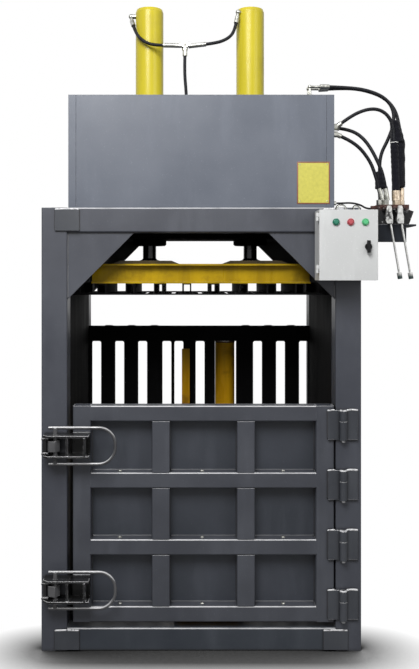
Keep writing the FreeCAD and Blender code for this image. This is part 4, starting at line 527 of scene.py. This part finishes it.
def lever_metal(name):
    """Zinc-plated lever, darker in patches towards its hub, whose lower end carries a dark rubber
    grip.
    """
    made = Finish(name, (0.7, 0.7, 0.68), 0.32)
    scratches = made.noise(60, 5, 0.65)
    grip = made.span(made.along("Z"), 1.604, 1.59)
    plate = made.blend(made.span(scratches, 0.3, 0.7), (0.42, 0.42, 0.41), (0.72, 0.72, 0.7))
    # darker in patches, more so towards the hub
    grime = made.span(made.noise(40, 4, 0.6), 0.5, 0.62)
    grime = made.maths("MULTIPLY", grime, made.span(made.along("Z"), 1.8, 1.83, 0.15, 1.0))
    plate = made.blend(grime, plate, (0.05, 0.05, 0.05))
    made.paint(made.blend(grip, plate, (0.016, 0.03, 0.028)))
    made.join(made.span(grip, 0, 1, 0.85, 0), made.shader.inputs["Metallic"])
    made.shine(made.span(scratches, 0.3, 0.7, 0.26, 0.42))
    made.relief([(scratches, 0.2, 0.0004), (made.noise(320, 2, 0.5), 0.2, 0.0004)], 0.0008)
    return made


lever_finish = lever_metal("lever and grip")

# ------------------------------------------------------------
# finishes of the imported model's own parts
# ------------------------------------------------------------
WORN_BY = (
    (frame_paint, "corner_posts top_ring corner_gussets side_wall_ribs rear_wall_channels"
                  " ejector_hinge oil_tank motor_and_pump"),
    (shaded_base_paint, "base_ring"),
    (hinge_paint, "joint_plates hinge_post_leaves hinge_door_leaves"),
    (chamber_shade_paint, "crown_channels crown_plate cylinder_flanges side_walls rear_wall"
                    " floor_plate platen_channels platen_face_plate platen_guide_shoes"),
    (turned_steel, "hinge_pins"),
    (latch_paint, "latch_keepers latch_bodies"),
    (handle_paint, "upper_latch_handle lower_latch_handle"),
    (ejector_enamel, "ejector_frame"),
    (barrel_enamel, "cylinder_barrels"),
    (shaded_rod_chrome, "piston_rods"),
    (shaded_beam_enamel, "platen_beams"),
    (plate_enamel, "platen_rod_plates"),
    (housing_paint, "housing_front_panel housing_side_panels housing_top_panel"),
    (shaded_pocket_paint, "door_skin"),
    (door_paint, "door_stiles door_rails door_ribs"),
    (cabinet_paint, "cabinet_case cabinet_door"),
    (black_moulding, "cabinet_lock_knob"),
    (green_cap, "start_button"),
    (red_cap, "stop_button"),
    (light_green_cap, "reset_button"),
    (shelf_paint, "valve_shelf"),
    (valve_casting, "valve_block"),
    (zinc, "hose_fittings"),
    (dull_brass, "brass_fittings"),
    (lever_finish, "left_lever right_lever"),
    (hose_rubber, "supply_hose cap_line_hose rod_line_hose return_hose drain_hose"
                  " top_left_hose top_right_hose top_down_hose"),
    (cable_jacket, "control_cable"),
    (sleeve_cloth, "supply_hose_sleeve"),
)


def coat(piece, finish):
    """Put a finish on a piece."""
    if not piece.material_slots:
        piece.data.materials.append(finish.material)
    for place in piece.material_slots:
        place.material = finish.material


for finish, names in WORN_BY:
    for name in names.split():
        coat(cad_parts[name], finish)


# ------------------------------------------------------------
# shaping
# ------------------------------------------------------------
def only(piece):
    """Select one piece and nothing else."""
    if bpy.context.object and bpy.context.object.mode != "OBJECT":
        bpy.ops.object.mode_set(mode="OBJECT")
    bpy.ops.object.select_all(action="DESELECT")
    piece.select_set(True)
    bpy.context.view_layer.objects.active = piece


def add_modifier(piece, kind, **settings):
    """Add a modifier, set it and apply it."""
    only(piece)
    change = piece.modifiers.new(kind.lower(), kind)
    for name, value in settings.items():
        setattr(change, name, value)
    bpy.ops.object.modifier_apply(modifier=change.name)


def choose(piece, wanted, kind="FACE"):
    """Go into edit mode with the faces, edges or points that a test picks by place."""
    only(piece)
    bpy.ops.object.mode_set(mode="EDIT")
    bpy.ops.mesh.select_mode(type=kind)
    bpy.ops.mesh.select_all(action="DESELECT")
    bpy.ops.object.mode_set(mode="OBJECT")
    mesh = piece.data
    if kind == "FACE":
        for face in mesh.polygons:
            face.select = wanted(face.center, face.normal)
    elif kind == "EDGE":
        for edge in mesh.edges:
            ends = [mesh.vertices[index].co for index in edge.vertices]
            edge.select = wanted(*ends)
    else:
        for corner in mesh.vertices:
            corner.select = wanted(corner.co)
    bpy.ops.object.mode_set(mode="EDIT")


def extrude(x, y, z):
    """Draw what is chosen out by a distance."""
    bpy.ops.mesh.extrude_region_move(TRANSFORM_OT_translate={"value": (x, y, z)})


def to_object_mode():
    bpy.ops.object.mode_set(mode="OBJECT")


def apply_place():
    """Put the active piece's place, turn and scale into its mesh."""
    bpy.ops.object.transform_apply(location=True, rotation=True, scale=True)


def done_editing(piece):
    """Back to object mode, with every face turned outwards."""
    bpy.ops.object.mode_set(mode="EDIT")
    bpy.ops.mesh.select_all(action="SELECT")
    bpy.ops.mesh.remove_doubles(threshold=0.00002)
    bpy.ops.mesh.normals_make_consistent(inside=False)
    to_object_mode()


def finished(piece, name, body, finish, angle=32):
    """Put the place into the mesh, smooth it, paint it and fix it to its body."""
    only(piece)
    apply_place()
    bpy.ops.object.shade_smooth_by_angle(angle=math.radians(angle))
    piece.name = name
    piece.data.name = name
    coat(piece, finish)
    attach(piece, body)
    return piece


def joined(parts):
    """Several meshes made into one."""
    only(parts[0])
    for part in parts[1:]:
        part.select_set(True)
    if len(parts) > 1:
        bpy.ops.object.join()
    return bpy.context.object


def copy_of(piece):
    """The same shape again, with a mesh of its own."""
    only(piece)
    bpy.ops.object.duplicate(linked=False)
    return bpy.context.object


def discard(piece):
    only(piece)
    bpy.ops.object.delete()


# ------------------------------------------------------------
# hoses and the control cable
# ------------------------------------------------------------
def declare_run(name, radius, finish):
    """A hose or cable along its route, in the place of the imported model's own."""
    route = HOSE_ROUTES[name]
    run = route_curve(name + "_run", route, radius)
    coat(run, finish)
    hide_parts(name)
    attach(run, "frame")


def sleeve_over(name, line, radius):
    """A woven sleeve along a centreline, slack in places and puckered at its upper end."""
    cover = bpy.data.curves.new(name, "CURVE")
    cover.dimensions = "3D"
    spline = cover.splines.new("POLY")
    spline.points.add(len(line) - 1)
    for count, (point, place) in enumerate(zip(spline.points, line)):
        point.co = (*place, 1)
        point.radius = 0.93 + 0.05 * math.sin(count * 1.9) - (0.16 if count == 0 else 0)
    cover.bevel_depth = radius
    cover.bevel_resolution = 7
    piece = bpy.data.objects.new(name, cover)
    bpy.context.scene.collection.objects.link(piece)
    only(piece)
    bpy.ops.object.convert(target="MESH")
    add_modifier(piece, "SUBSURF", levels=1, render_levels=1)
    bpy.ops.object.shade_smooth()
    coat(piece, sleeve_cloth)
    return piece


def cable_tie(place):
    """A thin nylon ring round the sleeve, with its lock drawn out in front."""
    bpy.ops.mesh.primitive_torus_add(location=place, major_radius=0.0172, minor_radius=0.0016,
                                     major_segments=40, minor_segments=8,
                                     rotation=(0.12, -0.05, 0))
    piece = bpy.context.object
    choose(piece, lambda centre, normal: centre.y < -0.0158 and abs(centre.x) < 0.003)
    extrude(0.0006, -0.0022, 0.001)
    done_editing(piece)
    return finished(piece, "sleeve_tie", "frame", tie_nylon)


supply_line = [p for p in points_along(HOSE_ROUTES["supply_hose"]) if p.z < SLEEVE_HEAD]
sleeve = sleeve_over("supply_sleeve", supply_line, SLEEVE_RADIUS)
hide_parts("supply_hose_sleeve")
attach(sleeve, "frame")
tie = cable_tie((0.8295, -0.386, 2.166))

for hose_name in HOSE_ROUTES:
    if hose_name == "supply_hose":
        declare_run(hose_name, HOSE_RADIUS, hose_rubber)
    elif hose_name == "control_cable":
        declare_run(hose_name, CABLE_RADIUS, cable_jacket)
    else:
        declare_run(hose_name, HOSE_RADIUS, hose_rubber)


# ------------------------------------------------------------
# weld beads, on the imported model's own parts, in millimetres
# ------------------------------------------------------------
HINGE_LINE = (600, -442)
HINGE_FOOT, HINGE_PITCH, HINGE_HEIGHT = 136, 254, 125
BRIM_RADIUS = 12.5
LEAF_FRONT = -433
POST_FACE = -427
JOINT_PLATE_LEFTS = (-621, 519)
JOINT_PLATE_WIDTH = 102
JOINT_PLATE_LEVELS = ((1784, 1876), (7, 89))
PLATE_RIM = -430
SKIN_FACE = -371
POCKET_COLUMNS = ((-470, -210), (-134, 152), (228, 488))
POCKET_ROWS = ((188, 406), (472, 690), (756, 974))
RAIL_FEET = (122, 406, 690, 974)
RAIL_HEIGHT = 66
STILE_SIDES = ((-470, -1), (488, 1))
FLUSH_SIZE = (0.0062, 0.006, 0.056)
FLUSH_SLOPE = 0.003
LATCH_MIDDLES = (880, 276)
UPRIGHT_AXIS = (134, 331)
UPRIGHT_HEAD = 1252.5
UPRIGHT_RIM_RADIUS = 48.5


def ripple(radius, pitch):
    """One ripple of a weld bead along Z: a short open ring with a swollen middle."""
    bpy.ops.mesh.primitive_cylinder_add(vertices=8, radius=radius, depth=pitch,
                                        end_fill_type="NOTHING")
    piece = bpy.context.object
    choose(piece, lambda a, b: abs(a.z - b.z) > pitch / 2, "EDGE")
    bpy.ops.mesh.subdivide(number_cuts=1)
    to_object_mode()
    choose(piece, lambda place: abs(place.z) < pitch / 4, "VERT")
    bpy.ops.transform.resize(value=(1.22, 1.22, 1))
    bpy.ops.transform.translate(value=(0, 0, pitch * 0.18))
    to_object_mode()
    return piece


def bead(start, end, radius):
    """A weld bead between two points, in millimetres, its ends drawn in."""
    a = Vector(start) / 1000
    b = Vector(end) / 1000
    pitch = radius * 1.35
    count = max(2, round((b - a).length / pitch))
    piece = ripple(radius, pitch)
    add_modifier(piece, "ARRAY", count=count, use_relative_offset=False,
                 use_constant_offset=True, constant_offset_displace=(0, 0, pitch),
                 use_merge_vertices=True, merge_threshold=0.0001)
    length = pitch * count
    for level, turn in ((-pitch / 2, -1), (length - pitch / 2, 1)):
        choose(piece, lambda one, two: abs(one.z - level) < pitch / 8
               and abs(two.z - level) < pitch / 8, "EDGE")
        extrude(0, 0, turn * radius * 0.6)
        bpy.ops.transform.resize(value=(0.35, 0.35, 1))
        bpy.ops.mesh.edge_face_add()
        to_object_mode()
    done_editing(piece)
    only(piece)
    piece.rotation_euler = (b - a).to_track_quat("Z", "Y").to_euler()
    piece.location = a + (b - a).normalized() * pitch / 2
    apply_place()
    return piece


def seams(name, body, lines, radius=0.0028, finish=bead_metal):
    """All the beads of one body as one piece."""
    piece = joined([bead(start, end, radius) for start, end in lines])
    return finished(piece, name, body, finish, 60)


def arc(centre, radius, height, start, step, count):
    """Lines along an arc that lies level; the angles are in degrees."""
    points = [(centre[0] + radius * math.cos(turn), centre[1] + radius * math.sin(turn), height)
              for turn in (math.radians(start + step * index) for index in range(count + 1))]
    return list(zip(points, points[1:]))


def hinge_welds():
    """Beads with a painted highlight over the leaves and round the brims of the knuckles, beads in
    painted shade elsewhere.
    """
    post_tops, post_lines, door_tops, door_lines = [], [], [], []
    for count in range(4):
        foot = HINGE_FOOT + HINGE_PITCH * count
        head = foot + HINGE_HEIGHT
        post_tops += [((617, LEAF_FRONT, head), (641, LEAF_FRONT, head + 2)),
                      ((640, LEAF_FRONT, head + 2), (664, LEAF_FRONT, head))]
        post_lines += [((618, LEAF_FRONT, foot), (662, LEAF_FRONT, foot)),
                       ((663, POST_FACE, foot + 4), (663, POST_FACE, head - 4))]
        door_tops += [((536, LEAF_FRONT, head - 1), (562, LEAF_FRONT, head + 1))]
        door_lines += [((538, LEAF_FRONT, foot), (561, LEAF_FRONT, foot)),
                       ((537, POST_FACE, foot + 4), (537, POST_FACE, head - 4))]
        door_tops += arc(HINGE_LINE, BRIM_RADIUS, head + 0.4, 185, 34, 5)
    seams("post_hinge_top_welds", "frame", post_tops, 0.004, highlight_bead)
    seams("post_hinge_welds", "frame", post_lines, 0.003, shade_bead)
    seams("door_hinge_top_welds", "door", door_tops, 0.0034, highlight_bead)
    seams("door_hinge_welds", "door", door_lines, 0.003, shade_bead)


def joint_plate_welds():
    """Round the plates over the frame's corners: a painted highlight along the top, painted shade
    at the sides and bottom.
    """
    tops, lines = [], []
    for low, high in JOINT_PLATE_LEVELS:
        for left in JOINT_PLATE_LEFTS:
            right = left + JOINT_PLATE_WIDTH
            lines += [((left, POST_FACE, low + 3), (left, POST_FACE, high - 3)),
                      ((right, POST_FACE, low + 3), (right, POST_FACE, high - 3)),
                      ((left + 3, POST_FACE, low), (right - 3, POST_FACE, low))]
            tops += [((left + 1, PLATE_RIM, high - 1), (left + 50, PLATE_RIM, high + 1)),
                     ((left + 49, PLATE_RIM, high + 1), (right - 1, PLATE_RIM, high - 1))]
    seams("joint_plate_top_welds", "frame", tops, 0.0034, highlight_bead)
    seams("joint_plate_welds", "frame", lines, 0.0026, shade_bead)


def gusset_welds():
    lines = []
    for sign in (-1, 1):
        for face in (-413, 401):
            lines += [((sign * 569, face, 1500), (sign * 569, face, 1772)),
                      ((sign * 294, face, 1776), (sign * 566, face, 1776))]
    seams("gusset_welds", "frame", lines, 0.0026)


def pocket_welds():
    """Round the door's pockets, where the skin meets the ribs: the upper and side beads in painted
    shade, the lower one lighter, as a painted highlight.
    """
    grid, ledges = [], []
    for left, right in POCKET_COLUMNS:
        for low, high in POCKET_ROWS:
            ledges += [((left + 4, SKIN_FACE, low + 1), (right - 4, SKIN_FACE, low + 1))]
            grid += [((left + 4, SKIN_FACE, high - 1), (right - 4, SKIN_FACE, high - 1)),
                     ((left + 1, SKIN_FACE, low + 4), (left + 1, SKIN_FACE, high - 4)),
                     ((right - 1, SKIN_FACE, low + 4), (right - 1, SKIN_FACE, high - 4))]
    seams("door_pocket_welds", "door", grid, 0.0022, shade_bead)
    # painted highlight: the lower ledge beads are lighter than the shaded beads above and beside
    # them
    seams("door_ledge_welds", "door", ledges, 0.0024)


def flush_welds():
    """Wedges of weld, ground flush where the rails meet the stiles."""
    fills = []
    for edge, way in STILE_SIDES:
        for foot in RAIL_FEET:
            place = Vector((edge + way * 3, -421.95, foot + RAIL_HEIGHT / 2)) / 1000
            bpy.ops.mesh.primitive_cube_add(size=1, location=place)
            fill = bpy.context.object
            fill.scale = FLUSH_SIZE
            bpy.ops.object.transform_apply(location=False, rotation=False, scale=True)
            choose(fill, lambda corner: corner.x * way > 0 and corner.y > 0, "VERT")
            bpy.ops.transform.translate(value=(-FLUSH_SLOPE * way, -FLUSH_SLOPE, 0))
            done_editing(fill)
            fills.append(fill)
    finished(joined(fills), "door_flush_welds", "door", flush_paint)


def latch_welds():
    """Along the outer sides of the two arms of each latch."""
    lines = []
    for middle in LATCH_MIDDLES:
        for side in (-1, 1):
            level = middle + 47 * side
            lines += [((-544, POST_FACE, level), (-473, POST_FACE, level))]
    seams("latch_welds", "door", lines, 0.0028)


def ledge_tacks():
    """A lumpy tack weld in the middle of each pocket's lower ledge."""
    bpy.ops.mesh.primitive_uv_sphere_add(segments=20, ring_count=12, radius=0.0075)
    blob = bpy.context.object
    choose(blob, lambda centre, normal: centre.z < -0.002)
    bpy.ops.transform.resize(value=(1, 1, 0.3))
    to_object_mode()
    blob.scale = (1.25, 0.9, 0.55)
    lumps = bpy.data.textures.new("blob lumps", "CLOUDS")
    lumps.noise_scale = 0.006
    apply_place()
    add_modifier(blob, "DISPLACE", texture=lumps, strength=0.003, mid_level=0.5)
    tacks = []
    for column in (-348, 4, 351):
        for low, _ in POCKET_ROWS:
            twin = copy_of(blob)
            twin.location = (column / 1000, -0.395, (low + 1.6) / 1000)
            tacks.append(twin)
    discard(blob)
    finished(joined(tacks), "ledge_tacks", "door", zinc, 50)


hinge_welds()
joint_plate_welds()
gusset_welds()
pocket_welds()
flush_welds()
latch_welds()
seams("upright_rim_weld", "tipping_frame",
      arc(UPRIGHT_AXIS, UPRIGHT_RIM_RADIUS, UPRIGHT_HEAD, 196, 148 / 12, 12), 0.0042,
      scorched_bead)
ledge_tacks()


# ------------------------------------------------------------
# cabinet: bezels round the buttons and wire loops on its roof
# ------------------------------------------------------------
BEZELS = (("start_bezel", 0.549, green_cap, "green_button"),
          ("stop_bezel", 0.609, red_cap, "red_button"),
          ("reset_bezel", 0.669, light_green_cap, "light_green_button"))
BEZEL_FACE = -0.5534
BUTTON_LEVEL = 1.813
LOOP_RADIUS = 0.0022


def button_bezels():
    """A thin ring round each button, drawn in towards its rim."""
    bpy.ops.mesh.primitive_cylinder_add(vertices=48, radius=0.0145, depth=0.005,
                                        end_fill_type="NOTHING", location=(0, 0, 0))
    bezel = bpy.context.object
    choose(bezel, lambda a, b: a.z > 0.002 and b.z > 0.002, "EDGE")
    extrude(0, 0, 0.0018)
    bpy.ops.transform.resize(value=(0.88, 0.88, 1))
    to_object_mode()
    done_editing(bezel)
    add_modifier(bezel, "SOLIDIFY", thickness=0.0014, offset=-1)
    add_modifier(bezel, "BEVEL", width=0.0004, segments=2, limit_method="ANGLE")
    for name, across, finish, slot in BEZELS:
        ring = copy_of(bezel)
        ring.rotation_euler = (math.pi / 2, 0, 0)
        ring.location = (across, BEZEL_FACE, BUTTON_LEVEL)
        finished(ring, name, "control_door", finish)
    discard(bezel)


def wire_loop(middle, width, rise, radius):
    """A bent wire loop with two legs, spun from a ring."""
    bpy.ops.mesh.primitive_circle_add(vertices=14, radius=radius, location=(0, 0, 0))
    piece = bpy.context.object
    choose(piece, lambda place: True, "VERT")
    bpy.ops.transform.translate(value=(-width / 2, 0, 0))
    bpy.ops.mesh.spin(steps=16, angle=math.pi, center=(0, 0, 0), axis=(0, 1, 0))
    to_object_mode()
    if max(corner.co.z for corner in piece.data.vertices) < radius * 2:
        choose(piece, lambda place: True, "VERT")
        bpy.ops.transform.resize(value=(1, 1, -1), center_override=(0, 0, 0))
        to_object_mode()
    choose(piece, lambda a, b: abs(a.z) < 0.00001 and abs(b.z) < 0.00001, "EDGE")
    extrude(0, 0, -rise)
    to_object_mode()
    done_editing(piece)
    piece.location = middle
    return piece


def roof_loops(name, face, grow, finish):
    """Two loops side by side, their wire grown by a little where they carry a jacket."""
    radius = LOOP_RADIUS + grow * 0.1
    loops = [wire_loop((0.579, face, 1.867), 0.038 + grow, 0.0045, radius),
             wire_loop((0.642, face, 1.871), 0.022 + grow, 0.0085, radius)]
    finished(joined(loops), name, "frame", finish)


button_bezels()
roof_loops("roof_wires", -0.5, 0.006, cable_jacket)
roof_loops("roof_loops", -0.507, 0, zinc)


# ------------------------------------------------------------
# bare plate with a raised border, riveted to the housing
# ------------------------------------------------------------
PLATE_MIDDLE = (0.478, 1.989)
PLATE_SIZE = (0.14, 0.18)
BORDER_WIDTH = 0.005
RIVET_INSET = 0.012


def border_of_plate():
    """A thin frame: a flat block without its back and without the middle of its front."""
    bpy.ops.mesh.primitive_cube_add(size=1, location=(PLATE_MIDDLE[0], -0.4138, PLATE_MIDDLE[1]))
    border = bpy.context.object
    border.scale = (PLATE_SIZE[0], 0.0016, PLATE_SIZE[1])
    apply_place()
    choose(border, lambda centre, normal: normal.y < -0.9)
    bpy.ops.mesh.inset(thickness=BORDER_WIDTH)
    bpy.ops.mesh.delete(type="FACE")
    to_object_mode()
    choose(border, lambda centre, normal: normal.y > 0.9)
    bpy.ops.mesh.delete(type="FACE")
    to_object_mode()
    add_modifier(border, "BEVEL", width=0.0004, segments=2, limit_method="ANGLE")
    finished(border, "plate_border", "frame", plate_border)


def face_of_plate():
    """A thin sheet inside the border, its middle slightly proud."""
    bpy.ops.mesh.primitive_plane_add(size=1, rotation=(math.pi / 2, 0, 0),
                                     location=(PLATE_MIDDLE[0], -0.4139, PLATE_MIDDLE[1]))
    face = bpy.context.object
    face.scale = (PLATE_SIZE[0] - 0.009, PLATE_SIZE[1] - 0.009, 1)
    apply_place()
    choose(face, lambda centre, normal: True)
    bpy.ops.mesh.inset(thickness=0.003)
    bpy.ops.transform.translate(value=(0, -0.0003, 0))
    bpy.ops.mesh.subdivide(number_cuts=6)
    to_object_mode()
    add_modifier(face, "SOLIDIFY", thickness=0.0006, offset=-1)
    finished(face, "plate_face", "frame", plate_yellow)


def rivets_of_plate():
    """A flattened dome with a short shank near each corner."""
    bpy.ops.mesh.primitive_uv_sphere_add(segments=16, ring_count=10, radius=0.0026)
    rivet = bpy.context.object
    choose(rivet, lambda centre, normal: centre.z < 0)
    bpy.ops.mesh.delete(type="FACE")
    to_object_mode()
    choose(rivet, lambda a, b: abs(a.z) < 0.0001 and abs(b.z) < 0.0001, "EDGE")
    extrude(0, 0, -0.0012)
    bpy.ops.mesh.edge_face_add()
    done_editing(rivet)
    rivets = []
    for across in (-1, 1):
        for up in (-1, 1):
            twin = copy_of(rivet)
            twin.rotation_euler = (math.pi / 2, 0, 0)
            twin.scale = (1, 1, 0.6)
            twin.location = (PLATE_MIDDLE[0] + across * (PLATE_SIZE[0] / 2 - RIVET_INSET), -0.4142,
                             PLATE_MIDDLE[1] + up * (PLATE_SIZE[1] / 2 - RIVET_INSET))
            rivets.append(twin)
    discard(rivet)
    finished(joined(rivets), "plate_rivets", "frame", zinc)


border_of_plate()
face_of_plate()
rivets_of_plate()


# ------------------------------------------------------------
# cloth wraps that gather the hoses
# ------------------------------------------------------------
def cloth_wrap(name, foot, head, foot_reach, head_reach):
    """A flattened, tapered and puckered cloth tube between two points, in millimetres."""
    low = Vector(foot) / 1000
    high = Vector(head) / 1000
    clear = 10
    rings = 10
    bpy.ops.mesh.primitive_cylinder_add(vertices=40, radius=1, depth=1, end_fill_type="NOTHING",
                                        location=(0, 0, 0.5))
    piece = bpy.context.object
    apply_place()
    choose(piece, lambda a, b: abs(a.z - b.z) > 0.5, "EDGE")
    bpy.ops.mesh.subdivide(number_cuts=rings - 1)
    to_object_mode()
    # each ring that is shaped moves well clear of those that are still to be chosen
    for ring in range(rings + 1):
        share = ring / rings
        swell = 1 + 0.06 * math.sin(ring * 2.3)
        centre = low.lerp(high, share)
        reach = [(a + (b - a) * share) / 1000 * swell for a, b in zip(foot_reach, head_reach)]
        choose(piece, lambda place: abs(place.z - share) < 0.02, "VERT")
        bpy.ops.transform.resize(value=(reach[0], reach[1], 1), center_override=(0, 0, share))
        bpy.ops.transform.translate(value=(centre.x, centre.y, centre.z - share + clear))
        to_object_mode()
    piece.location.z = -clear
    apply_place()
    done_editing(piece)
    add_modifier(piece, "SOLIDIFY", thickness=0.0012, offset=1)
    add_modifier(piece, "SUBSURF", levels=1, render_levels=1)
    folds = bpy.data.textures.new(name + " folds", "CLOUDS")
    folds.noise_scale = 0.03
    add_modifier(piece, "DISPLACE", texture=folds, strength=0.003, mid_level=0.5)
    finished(piece, name, "frame", sleeve_cloth, 60)


cloth_wrap("lower_hose_wrap", (777, -374, 1968), (768, -374, 2040), (25, 30), (15, 34))
cloth_wrap("side_hose_wrap", (853, -370, 1974), (851, -366, 2178), (26, 20), (28, 24))
cloth_wrap("upper_hose_wrap", (849, -366, 2168), (838, -358, 2262), (30, 30), (18, 28))


# ------------------------------------------------------------
# floor, backdrop and light
# ------------------------------------------------------------
SHADOW_REACH = 1.0
SHADOW_DEPTH = 4.2
BASE_MIDDLE_Y = -0.45
BASE_HALF_WIDTH = 0.6
FADE_START, FADE_END = 0.12, 0.42


def white_floor():
    """Grey to the object; to the camera white, apart from a painted shadow round the base, darkened
    from ambient occlusion.
    """
    made = Finish("pale floor", (0.3, 0.3, 0.3), 0.9)
    made.put("Specular IOR Level", 0.0)
    to_camera = made.add("ShaderNodeLightPath").outputs["Is Camera Ray"]
    shade = made.add("ShaderNodeAmbientOcclusion")
    shade.samples = 12
    shade.inputs["Distance"].default_value = SHADOW_REACH
    # painted shadow: the floor's colour seen by the camera darkens with ambient occlusion near the
    # base
    open_sky = made.maths("POWER", shade.outputs["AO"], SHADOW_DEPTH)
    painted_floor_shadow = made.blend(open_sky, (0, 0, 0), (0.85, 0.85, 0.85))
    made.paint(made.blend(to_camera, (0.3, 0.3, 0.3), painted_floor_shadow))
    here = made.add("ShaderNodeMapping")
    here.inputs["Location"].default_value = (0, -BASE_MIDDLE_Y, 0)
    made.join(made.place, here.inputs["Vector"])
    away = here.outputs["Vector"]
    for operation, amount in (("ABSOLUTE", None), ("SUBTRACT", (BASE_HALF_WIDTH, 0, 0)),
                              ("MAXIMUM", (0, 0, 0)), ("MULTIPLY", (1, 1.43, 1)),
                              ("LENGTH", None)):
        step = made.add("ShaderNodeVectorMath")
        step.operation = operation
        if amount:
            step.inputs[1].default_value = amount
        made.join(away, step.inputs[0])
        away = step.outputs["Value" if operation == "LENGTH" else "Vector"]
    laid = made.add("ShaderNodeMixShader")
    made.join(made.maths("MULTIPLY", made.span(away, FADE_START, FADE_END), to_camera),
              laid.inputs[0])
    made.join(made.shader.outputs[0], laid.inputs[1])
    made.join(made.add("ShaderNodeEmission").outputs[0], laid.inputs[2])
    made.join(laid.outputs[0], made.tree.nodes["Material Output"].inputs["Surface"])
    return made


def pale_world():
    """Dim to the object's faces, and at a strength of one where it is seen or mirrored."""
    sky = bpy.data.worlds.new("pale studio")
    bpy.context.scene.world = sky
    sky.use_nodes = True
    tree = sky.node_tree
    background = tree.nodes["Background"]
    background.inputs["Color"].default_value = (1, 1, 1, 1)
    rays = tree.nodes.new("ShaderNodeLightPath")
    seen = rays.outputs["Is Camera Ray"]
    for ray in ("Is Glossy Ray", "Is Transmission Ray"):
        either = tree.nodes.new("ShaderNodeMath")
        either.operation = "MAXIMUM"
        tree.links.new(seen, either.inputs[0])
        tree.links.new(rays.outputs[ray], either.inputs[1])
        seen = either.outputs[0]
    level = tree.nodes.new("ShaderNodeMapRange")
    level.inputs["To Min"].default_value = 0.22
    level.inputs["To Max"].default_value = 1.0
    tree.links.new(seen, level.inputs["Value"])
    tree.links.new(level.outputs["Result"], background.inputs["Strength"])


def soft_lamp(name, place, aim, size, power):
    bpy.ops.object.light_add(type="AREA", location=place)
    lamp = bpy.context.object
    lamp.name = name
    lamp.data.shape = "DISK"
    lamp.data.size = size
    lamp.data.energy = power
    lamp.rotation_euler = (Vector(aim) - Vector(place)).to_track_quat("-Z", "Y").to_euler()


bpy.ops.mesh.primitive_plane_add(size=60, location=(0, 0, 0))
floor = bpy.context.object
floor.name = "floor"
coat(floor, white_floor())
pale_world()
soft_lamp("key", (-0.9, -3.3, 4.3), (0, -0.4, 1.7), 2.4, 240)
soft_lamp("fill", (3.2, -3.2, 3.4), (0, -0.3, 1.5), 2.4, 50)

bpy.context.scene.view_settings.view_transform = "Standard"
